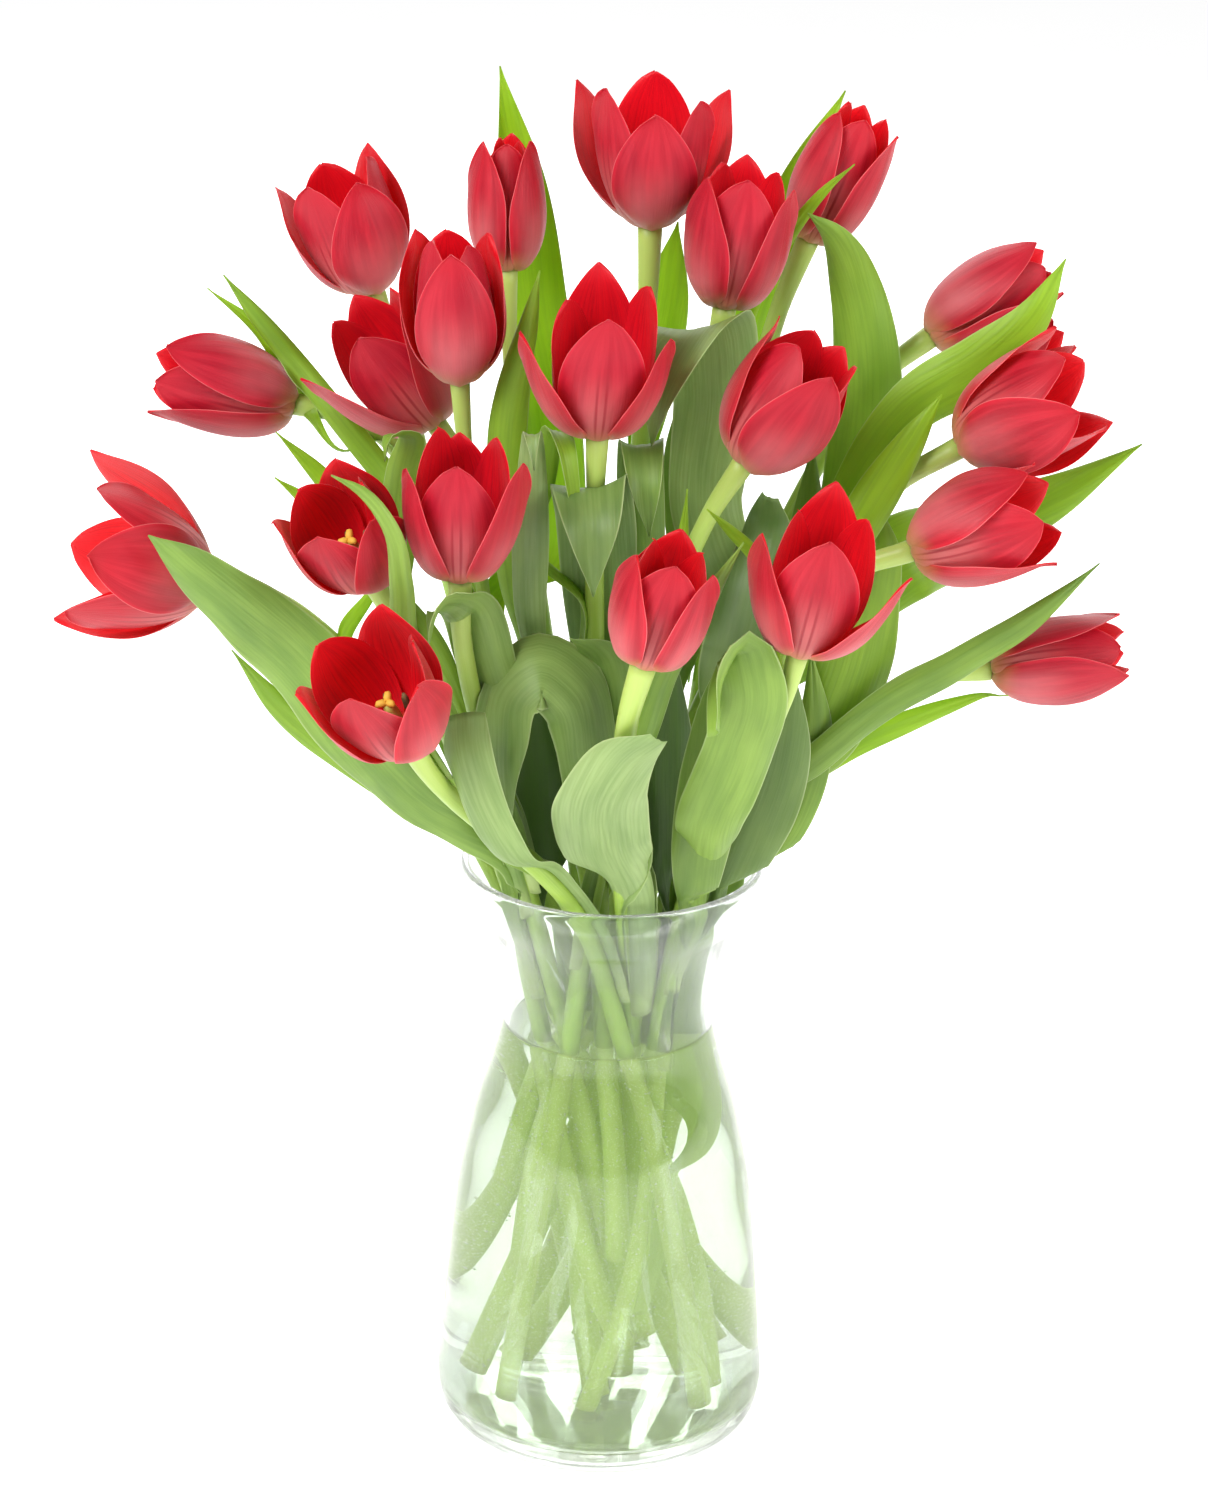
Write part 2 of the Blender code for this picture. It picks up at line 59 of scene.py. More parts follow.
class Value:
    """A socket that stands in a sum, product or comparison: each operator adds its Math node."""

    def __init__(self, tree, socket):
        self.tree = tree
        self.socket = socket

    def __getitem__(self, name):
        return Value(self.tree, self.socket.node.outputs[name])

    def maths(self, operation, *terms):
        """A Math node on these terms, which are numbers or values."""
        node = self.tree.nodes.new("ShaderNodeMath")
        node.operation = operation
        for socket, term in zip(node.inputs, terms):
            if isinstance(term, Value):
                self.tree.links.new(term.socket, socket)
            else:
                socket.default_value = term
        return Value(self.tree, node.outputs[0])

    def __add__(self, other):
        return self.maths("ADD", self, other)

    def __sub__(self, other):
        return self.maths("SUBTRACT", self, other)

    def __rsub__(self, other):
        return self.maths("SUBTRACT", other, self)

    def __mul__(self, other):
        return self.maths("MULTIPLY", self, other)

    def __truediv__(self, other):
        return self.maths("DIVIDE", self, other)

    def __pow__(self, power):
        return self.maths("POWER", self, power)

    def __abs__(self):
        return self.maths("ABSOLUTE", self)

    __radd__ = __add__
    __rmul__ = __mul__

    def ease(self, low, high):
        """0 below low and 1 above high, with a smooth rise between them."""
        node = self.tree.nodes.new("ShaderNodeMapRange")
        node.interpolation_type = "SMOOTHSTEP"
        self.tree.links.new(self.socket, node.inputs["Value"])
        node.inputs["From Min"].default_value = low
        node.inputs["From Max"].default_value = high
        return Value(self.tree, node.outputs["Result"])


class Finish:
    """A material or a world being mixed: one method adds any node."""

    def __init__(self, owner):
        owner.use_nodes = True
        self.owner = owner
        self.tree = owner.node_tree
        self.tree.nodes.clear()

    def node(self, kind, settings=None, **sockets):
        """A node of a type, its settings set first, then its sockets' numbers or links."""
        node = self.tree.nodes.new("ShaderNode" + kind)
        for name, setting in (settings or {}).items():
            setattr(node, name, setting)
        for name, value in sockets.items():
            name = name.replace("_", " ")
            socket = next(s for s in node.inputs if s.enabled and s.name == name)
            if isinstance(value, Value):
                self.tree.links.new(value.socket, socket)
            else:
                socket.default_value = value
        return Value(self.tree, next((s for s in node.outputs if s.enabled), None))

    def blend(self, share, low, high, how="MIX"):
        """Two colours mixed by a share."""
        settings = {"data_type": "RGBA", "blend_type": how}
        return self.node("Mix", settings, Factor=share, A=low, B=high)

    def grain(self, where, size, detail=3.0, rough=0.5):
        """Noise from 0 to 1 at places given as a vector."""
        return self.node("TexNoise", None, Vector=where, Scale=size, Detail=detail, Roughness=rough)

    def mix(self, share, first, second):
        """Two shaders mixed by a share."""
        both = self.node("MixShader", None, Fac=share)
        for socket, shader in zip(both.socket.node.inputs[1:], (first, second)):
            self.tree.links.new(shader.socket, socket)
        return both

    def join(self, x, y, z=0.0):
        """A vector of three values."""
        return self.node("CombineXYZ", None, X=x, Y=y, Z=z)

    def close(self, shader, output="OutputMaterial"):
        """Send a shader to the output, and give back the finished material or world."""
        self.node(output, None, Surface=shader)
        return self.owner


def rgb(red, green, blue):
    """A colour from its everyday 0-255 values, made linear for the shader."""
    share = np.array([red, green, blue]) / 255
    linear = np.where(share > 0.04045, ((share + 0.055) / 1.055) ** 2.4, share / 12.92)
    return (*(float(v) for v in linear), 1.0)


def aim(obj, spot):
    """Turn a lamp towards a spot."""
    obj.rotation_euler = (Vector(spot) - obj.location).to_track_quat("-Z", "Y").to_euler()


def window(name, place, spot, size, watts):
    """A square soft lamp."""
    data = bpy.data.lights.new(name, "AREA")
    data.size = size
    data.energy = watts
    lamp = bpy.data.objects.new(name, data)
    lamp.location = place
    aim(lamp, spot)
    bpy.context.scene.collection.objects.link(lamp)


room = Finish(bpy.data.worlds.new("white_room"))
path = room.node("LightPath")
seen = path["Is Camera Ray"].maths("MAXIMUM", path["Is Camera Ray"], path["Is Transmission Ray"])
dim = room.node("Background", None, Color=(1.0, 1.0, 1.0, 1.0), Strength=ROOM_LIGHT)
bright = room.node("Background", None, Color=(1.0, 1.0, 1.0, 1.0), Strength=ROOM_SEEN)
bpy.context.scene.world = room.close(room.mix(seen, dim, bright), "OutputWorld")

window("window_left", (-1.1, -1.3, 1.5), (0, 0, 0.28), 1.1, KEY_WATTS)
window("window_right", (1.4, -0.9, 0.9), (0, 0, 0.28), 0.9, FILL_WATTS)
window("window_back", (0.0, 1.5, 1.1), (0, 0, 0.28), 1.6, BACK_WATTS)

table_top = bpy.data.meshes.new("table_top")
table_top.from_pydata([(-8, -3, 0), (8, -3, 0), (8, 13, 0), (-8, 13, 0)], [], [(0, 1, 2, 3)])
table = bpy.data.objects.new("table", table_top)
bpy.context.scene.collection.objects.link(table)
white = Finish(bpy.data.materials.new("white_table"))
cloth = white.grain(white.node("TexCoord")["Object"], 9.0)
tone = white.blend(cloth, (0.90, 0.90, 0.90, 1), (0.93, 0.93, 0.93, 1))
table_top.materials.append(white.close(white.node(
    "BsdfPrincipled", None, Base_Color=tone, Roughness=0.9, Emission_Color=(1.0, 1.0, 1.0, 1),
    Emission_Strength=0.55)))

view = bpy.data.cameras.new("view")
view.lens = VIEW_LENS
view.sensor_width = 36.0
viewer = bpy.data.objects.new("viewer", view)
viewer.location = VIEW_AT
tilt = (Matrix.Rotation(math.radians(90 - VIEW_DOWN), 4, "X")
        @ Matrix.Rotation(math.radians(VIEW_ROLL), 4, "Z"))
viewer.rotation_euler = tilt.to_euler()
bpy.context.scene.collection.objects.link(viewer)
bpy.context.scene.camera = viewer
bpy.context.scene.view_settings.view_transform = "Standard"

# ------------------------------------------------------------------ the vase
# One piece of clear blown glass: a thick floor, a wide belly at the foot, a narrow neck and a mouth
# that opens out to a rounded lip. It carries everything else and stands free on its foot.
MM = 0.001
WALL = 2.6
FLOOR = 7.5                # thickness of the glass under the water
VASE_HEIGHT = 205.0
VASE_OUTSIDE = [           # height, radius of the outside, from the foot's rounded corner to the lip
    (0, 48.5), (1.5, 51.8), (4.5, 54.3), (9, 55.6), (28, 54.9), (58, 52.5), (86, 49.7),
    (101, 46.9), (116, 43.5), (130, 39.1), (141, 36.2), (152, 34.9), (163, 35.7), (174, 38.0),
    (183, 41.8), (190, 46.0), (197, 49.0), (202, 49.9)]
GLASS_TINT = rgb(240, 247, 240)
GLASS_SHARE = 0.85         # the rest of the light goes straight through the clear wall


def curve(knots, values, t):
    """Cubic curve through values at knots, with the neighbours' differences as its slopes."""
    knots = np.asarray(knots, float)
    values = np.asarray(values, float)
    slopes = np.gradient(values, knots, axis=0)
    i = np.clip(np.searchsorted(knots, t, side="right") - 1, 0, len(knots) - 2)
    span = knots[i + 1] - knots[i]
    u = (t - knots[i]) / span
    if values.ndim > 1:
        span = span[..., None]
        u = u[..., None]
    start = values[i] * (1 + 2 * u) * (1 - u) ** 2 + slopes[i] * span * u * (1 - u) ** 2
    end = values[i + 1] * u * u * (3 - 2 * u) - slopes[i + 1] * span * u * u * (1 - u)
    return start + end


def run_length(points):
    """Length along a polyline up to each of its points."""
    steps = np.linalg.norm(np.diff(points, axis=0), axis=1)
    return np.concatenate([[0.0], np.cumsum(steps)])


def inner_radius(height):
    """Radius of the vase's inside at a height."""
    heights, radii = np.array(VASE_OUTSIDE, float).T
    return np.interp(height, heights, radii) - WALL


def add_piece(name, points, faces, finish, slot, nodes=(), **marks):
    """A piece of the bouquet from points in millimetres, with one number a point for each mark."""
    mesh = bpy.data.meshes.new(name)
    mesh.from_pydata((points * MM).tolist(), [], faces.tolist())
    for mark, values in marks.items():
        layer = mesh.attributes.new(mark, "FLOAT", "POINT")
        layer.data.foreach_set("value", np.ascontiguousarray(values, np.float32).ravel())
    mesh.shade_smooth()
    mesh.materials.append(finish)
    piece = bpy.data.objects.new(name, mesh)
    bpy.context.scene.collection.objects.link(piece)
    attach(piece, "root")
    if nodes:
        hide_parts(*nodes)
    return piece


def quads(rows, columns, wrap=False):
    """Faces of a grid of points, each row's last point joined to its first if it wraps."""
    i, j = np.meshgrid(np.arange(rows - 1), np.arange(columns if wrap else columns - 1),
                       indexing="ij")
    a = i * columns + j
    b = i * columns + (j + 1) % columns
    return np.stack([a, b, b + columns, a + columns], -1).reshape(-1, 4)


def turned(profile, sides):
    """Points and faces of a profile turned about Z, whose ends lie almost on the axis.

    A point at angle t is (radius cos t, radius sin t, height). The profile runs up the outside, so
    the faces look outwards, and its two ends are so near the axis that they close the poles.
    """
    radius, height = np.asarray(profile, float).T
    t = np.arange(sides) * math.tau / sides
    points = np.stack([radius[:, None] * np.cos(t), radius[:, None] * np.sin(t),
                       np.repeat(height[:, None], sides, 1)], -1)
    return points.reshape(-1, 3), quads(len(profile), sides, wrap=True)


heights, radii = np.array(VASE_OUTSIDE, float).T
fine = np.concatenate([np.linspace(0, 9, 12), np.linspace(9, 202, 84)[1:]])
outside = np.stack([curve(heights, radii, fine), fine], -1)
lip_angle = np.linspace(0, math.pi, 9)[1:-1]
lip_middle = outside[-1, 0] - WALL / 2
lip = np.stack([lip_middle + (WALL / 2 + 0.25) * np.cos(lip_angle),
                VASE_HEIGHT - 2.1 + 2.1 * np.sin(lip_angle)], -1)
inside = outside[outside[:, 1] > FLOOR + 5] - (WALL, 0)
well_angle = np.linspace(0, math.pi / 2, 8)
well_radius = inside[0, 0]
well = np.stack([well_radius - 7 + 7 * np.cos(well_angle),
                 FLOOR + 5 - 4.6 * np.sin(well_angle)], -1)
push_up = np.array([(34, FLOOR + 0.2), (16, FLOOR + 0.8), (0.02, FLOOR + 1.0)])
under = np.array([(0.02, 0.9), (20, 0.8), (38, 0.4), (44, 0.0)])
points, faces = turned(np.concatenate([under, outside, lip, inside[::-1], well[1:], push_up]), 144)
glass = Finish(bpy.data.materials.new("clear_glass"))
ripple = glass.grain(glass.node("TexCoord")["Object"], 30.0, 1.0)
glass_skin = glass.close(glass.node(
    "BsdfPrincipled", None, Base_Color=GLASS_TINT, Roughness=0.0, IOR=1.5, Alpha=GLASS_SHARE,
    Transmission_Weight=1.0,
    Normal=glass.node("Bump", None, Strength=0.05, Distance=0.002, Height=ripple)))
add_piece("vase_glass_shell", points, faces, glass_skin, "vase_glass", ["vase"])

# ------------------------------------------------------------------ the water
# Clear water to just under the neck. It wets the glass, so its surface climbs a little at the wall,
# and the stems stand in it.
WATER_LEVEL = 145.0
WET = 0.25                 # how far the water reaches into the glass, which it wets

rise = np.linspace(FLOOR + 5, WATER_LEVEL, 60)
side = np.stack([curve(heights, radii, rise) - WALL + WET, rise], -1)
climb = np.array([(side[-1, 0] - 0.3, WATER_LEVEL + 1.4), (side[-1, 0] - 1.2, WATER_LEVEL + 0.5),
                  (side[-1, 0] - 3.0, WATER_LEVEL + 0.05), (14, WATER_LEVEL), (0.02, WATER_LEVEL)])
bottom = np.concatenate([push_up[::-1], well[:0:-1]]) + (0, -WET)
points, faces = turned(np.concatenate([bottom, side, climb]), 144)
water = Finish(bpy.data.materials.new("water"))
water_skin = water.close(water.node(
    "BsdfPrincipled", None, Base_Color=rgb(250, 253, 248), Roughness=0.0, IOR=1.33,
    Transmission_Weight=1.0))
add_piece("water_body", points, faces, water_skin, "water", ["water"])

# ------------------------------------------------------------------ the stems
# Twenty-one round, smooth, juicy stems, cut off at the foot. Each leans through the neck on the
# others and on the glass, and carries one flower. Below the water line fine air bubbles cling to it.
GAP = 0.35
STEM_R = 3.2
STEM_GAP = 2.1             # asked for between two stems; once they have settled, 0.5 is left
WALL_GAP = 0.8             # asked for between a stem and the glass
STEM_CONTROLS = 9          # control points of a stem's spline: the fewer, the straighter
STIFFNESS = 0.05
FOOT_LIFT = 1.9            # how far a stem's foot stands off the glass floor, as it is cut square
RIM = (205.0, 39.0)        # height of the rim, and how far out a stem may first pass it
NECK = (152.0, 26.0)       # the same at the neck

# base x y z | lean to the right, nod to the front (degrees) | length, belly radius |
# flare (degrees), roll (degrees) | foot x y z
TULIPS = [
    ((-81, 24, 390), (-18, 5), (44, 15.0), (9, 20), (22, 4, 9)),
    ((-38, 14, 401), (-1, 0), (43, 12.5), (-2, 60), (4, 30, 12)),
    ((-51, -34, 378), (-4, 5), (47, 14.5), (2, 0), (3, 38, 9)),
    ((7, 15, 416), (0, 4), (46, 15.0), (13, 0), (2, 4, 9)),
    ((31, -5, 396), (8, 5), (45, 14.5), (5, 60), (-14, 42, 12)),
    ((58, 30, 409), (21, 5), (46, 13.0), (2, 60), (-8, 24, 20)),
    ((-106, 12, 355), (-74, 10), (46, 14.0), (3, 60), (15, 25, 9)),
    ((-60, 2, 353), (-34, 8), (46, 14.5), (8, 60), (16, 40, 9)),
    ((-8, -45, 365), (1, 10), (44, 14.5), (14, 60), (-6, -5, 65)),
    ((38, -40, 356), (30, 10), (47, 16.0), (4, 20), (-24, -8, 9)),
    ((99, 32, 377), (54, 0), (45, 13.5), (0, 60), (-20, 0, 85)),
    ((106, 50, 354), (58, 0), (44, 13.5), (6, 30), (-13, -5, 60)),
    ((106, -20, 356), (57, 8), (46, 15.0), (11, 0), (-26, 14, 9)),
    ((91, -45, 330), (67, 8), (45, 14.5), (9, 60), (-15, 30, 9)),
    ((121, -10, 278), (80, 0), (44, 13.0), (3, 30), (-30, 35, 9)),
    ((55, -85, 310), (10, 10), (47, 14.5), (13, 60), (-3, -12, 9)),
    ((8, -100, 311), (14, 12), (41, 14.0), (4, 60), (8, 22, 9)),
    ((-49, -70, 326), (1, 8), (45, 14.0), (7, 60), (8, 10, 30)),
    ((-77, -60, 322), (-22, 30), (40, 14.5), (9, 40), (14, -2, 30)),
    ((-63, -95, 281), (-20, 30), (45, 15.0), (13, 40), (27, -12, 9)),
    ((-130, -20, 305), (-74, 10), (48, 15.5), (20, 20), (28, 28, 9)),
]


def unit(v):
    """Vectors of length one along the last axis."""
    return v / np.maximum(np.linalg.norm(v, axis=-1, keepdims=True), 1e-9)


def along(points, count):
    """The same path with evenly spaced points."""
    run = run_length(points)
    want = np.linspace(0, run[-1], count)
    return np.stack([np.interp(want, run, column) for column in points.T], -1)


def carried_frames(path, first):
    """Tangents of a path, and the first direction carried along it without twist."""
    tangent = unit(np.gradient(path, axis=0))
    across = np.zeros_like(path)
    across[0] = unit(first - tangent[0] * (first @ tangent[0]))
    for i in range(1, len(path)):
        carried = across[i - 1] - tangent[i] * (across[i - 1] @ tangent[i])
        across[i] = unit(carried)
    return tangent, across


def flower_frame(lean, nod):
    """Axis of a flower, and the two directions square to it: to the front, and to its side."""
    lean, nod = math.radians(lean), math.radians(nod)
    axis = np.array([math.sin(lean) * math.cos(nod), -math.sin(nod),
                     math.cos(lean) * math.cos(nod)])
    front = np.array([0.0, -1.0, 0.0])
    front = unit(front - axis * (front @ axis))
    return axis, front, np.cross(axis, front)


def stem_guess(tulip, count):
    """A stem before it settles: straight from its foot to the rim, then to the flower's axis."""
    base = np.array(tulip[0], float)
    foot = np.array(tulip[4], float)
    foot[2] = max(foot[2], FLOOR + FOOT_LIFT)
    axis = flower_frame(*tulip[1])[0]
    tail = base - axis * min(0.3 * (base[2] - NECK[0]), 40)
    knots = [foot, tail, base]
    for height, most in (RIM, NECK):
        place = foot + (knots[1] - foot) * (height - foot[2]) / (knots[1][2] - foot[2])
        place[:2] *= min(1, most / math.hypot(place[0], place[1]))
        knots.insert(1, place)
    knots = np.array(knots)
    run = run_length(knots)
    return along(curve(run, knots, np.linspace(0, run[-1], 200)), count)


def smooth_push(push, times):
    """Spread a shift along each stem."""
    for _ in range(times):
        push[:, 1:-1] = (push[:, :-2] + 2 * push[:, 1:-1] + push[:, 2:]) / 4
    return push


def flower_balls():
    """Three balls in each flower's cup: their centres and radii, for what must pass around it."""
    centres, radii = [], []
    for base, lean, (length, belly), _, _ in TULIPS:
        axis = flower_frame(*lean)[0]
        for share, swell in ((0.2, -1.5), (0.45, 0.5), (0.72, 0.0)):
            centres.append(np.array(base, float) + axis * length * share)
            radii.append(belly + swell)
    return np.array(centres), np.array(radii)


def spline_shares(count, controls):
    """How much each control point of a cubic B-spline with clamped ends moves each of its points."""
    knots = np.concatenate([[0, 0, 0], np.linspace(0, 1, controls - 2), [1, 1, 1]])
    t = np.linspace(0, 1, count)[:, None]
    shares = ((knots[:-1] <= t) & (t < knots[1:])).astype(float)
    shares[-1, controls - 1] = 1
    for order in (1, 2, 3):
        width = knots[order:] - knots[:-order]
        width = np.where(width > 0, width, np.inf)
        rising = (t - knots[:-order - 1]) / width[:-1] * shares[:, :-1]
        falling = (knots[order + 1:] - t) / width[1:] * shares[:, 1:]
        shares = rising + falling
    return shares


def settled_stems(count=64, rounds=240):
    """Stems pushed apart, off the glass and around the flowers, each as stiff as a spline.

    Each round finds the pairs of points closer than two radii and the gap and moves both out by
    half the lack, moves what is inside another's flower out of it, and draws in what passes the
    glass. The moves are fitted to the control points, whose second differences a weaker pull makes
    smaller, so that a stem stays as straight as the others let it.
    """
    shares = spline_shares(count, STEM_CONTROLS)
    guesses = np.array([stem_guess(tulip, count) for tulip in TULIPS])
    shape = np.einsum("ij,njk->nik", np.linalg.pinv(shares), guesses)
    fit = np.linalg.pinv(shares[:, :-2])
    bend = np.diff(np.eye(STEM_CONTROLS), 2, axis=0)
    bend = (bend.T @ bend)[:-2]
    feet = shape[:, 0].copy()
    balls, ball_r = flower_balls()
    owner = np.repeat(np.arange(len(TULIPS)), 3)
    others = owner[None, :] != np.arange(len(TULIPS))[:, None]
    least = 2 * STEM_R + STEM_GAP
    one, two = np.triu_indices(len(TULIPS), 1)
    for turn in range(rounds):
        path = np.einsum("ij,njk->nik", shares, shape)
        push = np.zeros_like(path)
        hits = np.zeros(path.shape[:2] + (1,))
        apart = path[one][:, :, None, :] - path[two][:, None, :, :]
        distance = np.sqrt((apart * apart).sum(-1))
        pair, i, j = np.nonzero(distance < least)
        near = distance[pair, i, j][:, None]
        away = apart[pair, i, j] / np.maximum(near, 1e-6) * (least - near) / 2
        np.add.at(push, (one[pair], i), away)
        np.add.at(push, (two[pair], j), -away)
        np.add.at(hits, (one[pair], i), 1)
        np.add.at(hits, (two[pair], j), 1)
        push /= np.maximum(hits, 1)
        apart = path[:, :, None, :] - balls
        distance = np.linalg.norm(apart, axis=-1)
        lack = np.where(others[:, None], ball_r + STEM_R + 1.5 - distance, 0).clip(min=0)
        push += (apart / distance[..., None] * lack[..., None]).sum(2) * 0.5
        push[:, -6:] = 0
        reach = np.hypot(path[..., 0], path[..., 1])
        above = (path[..., 2] - VASE_HEIGHT - 3).clip(min=0)
        room = inner_radius(path[..., 2]) - STEM_R - WALL_GAP + above * 1.5
        over = (reach - room).clip(min=0)
        push[..., :2] -= path[..., :2] * (over / np.maximum(reach, 1e-6))[..., None] * 1.2
        shape[:, :-2] += 3 * np.einsum("ij,njk->nik", fit, smooth_push(push, 3))
        pull = min(1, max(0, (0.95 - turn / rounds) * 4))
        shape[:, :-2] -= STIFFNESS * pull * np.einsum("ij,njk->nik", bend, shape)
        shape[:, 0] += 0.03 * pull * (feet - shape[:, 0])
        shape[:, 0, 2] = feet[:, 2]
    return np.einsum("ij,njk->nik", shares, shape)


def tube(path, radii, sides):
    """Points and faces of a round tube along a path, drawn in to a point at both ends.

    A point is the path's point plus its radius times a unit circle square to the path.
    """
    tangent, across = carried_frames(path, np.array([1.0, 0.3, 0.0]))
    up = np.cross(tangent, across)
    angle = np.arange(sides) * math.tau / sides
    ring = across[:, None] * np.cos(angle)[:, None] + up[:, None] * np.sin(angle)[:, None]
    points = path[:, None] + ring * np.asarray(radii, float)[:, None, None]
    return points.reshape(-1, 3), quads(len(path), sides, wrap=True)


skin = Finish(bpy.data.materials.new("stem_skin"))
place = skin.node("TexCoord")["Object"]
run = skin.node("Attribute", {"attribute_name": "run"})["Fac"]
turn = skin.node("Attribute", {"attribute_name": "turn"})["Fac"]
height = skin.node("SeparateXYZ", None, Vector=place)["Z"]
streaks = skin.grain(skin.join(turn * 9.0, run * 3.0), 4.0)
colour = skin.blend(streaks, rgb(126, 162, 48), rgb(166, 194, 84))
colour = skin.blend(run.ease(0.80, 1.0) * 0.75, colour, rgb(178, 198, 104))
colour = skin.blend(run.ease(0.035, 0.0) * 0.8, colour, rgb(196, 206, 84))
# painted light: below the water line stems and leaves are painted paler and given a faint emitted glow,
# standing in for light the glass and water hold back
PAINTED_LIGHT_IN_WATER = rgb(206, 226, 132)
PAINTED_GLOW_IN_WATER = rgb(196, 214, 120)
dots = skin.node("TexVoronoi", None, Vector=place, Scale=1300.0)["Distance"]
under_water = height.ease((WATER_LEVEL + 0.4) * MM, (WATER_LEVEL - 0.4) * MM)
bubble = dots.ease(0.34, 0.12) * under_water
# painted light under the water: a paler colour, then an emitted glow
colour = skin.blend(under_water * 0.5, colour, PAINTED_LIGHT_IN_WATER)
colour = skin.blend(bubble * 0.75, colour, rgb(244, 250, 218))
glow = skin.blend(under_water, rgb(0, 0, 0), PAINTED_GLOW_IN_WATER)
relief = skin.node("Bump", None, Strength=0.35, Distance=0.0006, Height=bubble + streaks * 0.25)
shine = skin.node("BsdfPrincipled", None, Base_Color=colour, Roughness=0.42, Normal=relief,
                  Subsurface_Weight=0.12, Subsurface_Radius=(0.4, 0.6, 0.15),
                  Subsurface_Scale=0.004, Emission_Color=glow, Emission_Strength=0.14)
stem_skin = skin.close(shine)

STEM_SIZE = {4: 1.08, 16: 0.92, 17: 1.15, 3: 0.85, 2: 0.9, 20: 1.05, 9: 1.05}
stem_paths = []
coarse = np.array([along(path, 18) for path in settled_stems()])
for number, (knots, tulip) in enumerate(zip(coarse, TULIPS), 1):
    top = np.array(tulip[0], float)
    axis = flower_frame(*tulip[1])[0]
    knots[-1] = top - axis * 1.5 * GAP
    run = run_length(knots)
    path = along(curve(run, knots, np.linspace(0, run[-1], 240)), 96)
    stem_paths.append(path)
    start = unit(path[0] - path[1])
    path = np.concatenate([path[:1] - start * 0.02, path[:1], path, top[None] + axis * 1.5])
    share = np.linspace(0, 1, len(path))
    size = STEM_SIZE.get(number, 1.0) * STEM_R
    radii = size * (1.0 - 0.10 * share + 0.05 * np.sin(9 * share + number))
    radii += 0.9 * (share > 0.93) * (share - 0.93) / 0.07
    radii[0] = 0.02
    radii[1] = radii[2] - 0.35
    radii[-1] = 0.5
    points, faces = tube(path, radii, 20)
    across = np.tile(np.abs(np.arange(20) / 10.0 - 1.0), len(path))
    add_piece(f"tulip_{number:02d}_stem", points, faces, stem_skin, "stem", [f"stem_{number:02d}"],
              run=np.repeat(share, 20), turn=across + number)

# ------------------------------------------------------------------ the flowers
# Each flower is a cup of six thick satiny petals, three outside and three inside them, turned by a
# sixth of a circle. In the cup stand a green pistil with three lobes and six dark stamens.
CUP_AT = (0, .06, .16, .32, .5, .7, .88, 1)       # the midrib's angle to the flower's axis
CUP_DEG = (90, 68, 42, 16, 0, -10, -15, -8)
FLARE_SHARE = (0, .15, .5, .9, 1, 1, 1.1, 1.3)    # how much of a flare has reached it
WIDTH_AT = (0, .08, .2, .36, .52, .66, .8, .9, .96, 1)
OUTER_WIDTH = (.20, .46, .76, .96, 1, .90, .66, .40, .20, .02)
INNER_WIDTH = (.20, .42, .72, .93, 1, .94, .74, .48, .27, .03)
RECEPTACLE_R = 2.6
PETAL_THICK = 0.5
PETAL_THROUGH = 0.3        # share of the light that a petal lets through

# tulip number: extra flare of the six petals in degrees, outer ones first, then their lengths
PETAL_POSE = {
    9: ((4, -8, 8, -4, -4, 2), (0.95, 1.20, 0.98, 1.12, 1.0, 1.10)),
    16: ((14, -8, 2, -2, -6, -2), (0.95, 1.12, 0.95, 0.98, 0.95, 1.06)),
    4: ((-2, 6, 8, 0, -4, 0), (0.96, 1.0, 1.06, 1.0, 1.04, 1.04)),
    8: ((0, -3, 12, 0, 0, 0), (1.0, 1.0, 1.02, 1.0, 0.98, 0.94)),
    18: ((4, -2, 2, 0, 0, -2), (1.05, 1.0, 0.92, 1.0, 1.05, 0.95)),
    21: ((0, 10, 0, 0, 6, 0), (1.0, 1.1, 1.0, 1.0, 1.0, 1.0)),
}


def closed_sheet(grid, thick):
    """Points and faces of a thin closed skin around a grid of points.

    Its two sheets lie half the thickness to either side along the grid's normals, and a strip
    joins them round the rim. The first sheet is the one on the normals' side.
    """
    rows, columns = grid.shape[:2]
    normal = unit(np.cross(np.gradient(grid, axis=0), np.gradient(grid, axis=1)))
    offset = normal * np.asarray(thick)[..., None] / 2
    points = np.concatenate([(grid + offset).reshape(-1, 3), (grid - offset).reshape(-1, 3)])
    sheet = quads(rows, columns)
    number = np.arange(rows * columns).reshape(rows, columns)
    rim = np.concatenate([number[0, :-1], number[:-1, -1], number[-1, :0:-1], number[:0:-1, 0]])
    after = np.roll(rim, -1)
    back = rows * columns
    strip = np.stack([rim, rim + back, after + back, after], -1)
    faces = np.concatenate([sheet, sheet[:, ::-1] + back, strip])
    corners = points[faces]
    volume = (np.cross(corners[:, 1] - corners[:, 0], corners[:, 2] - corners[:, 0])
              * corners[:, 0]).sum()
    return points, faces if volume > 0 else faces[:, ::-1]


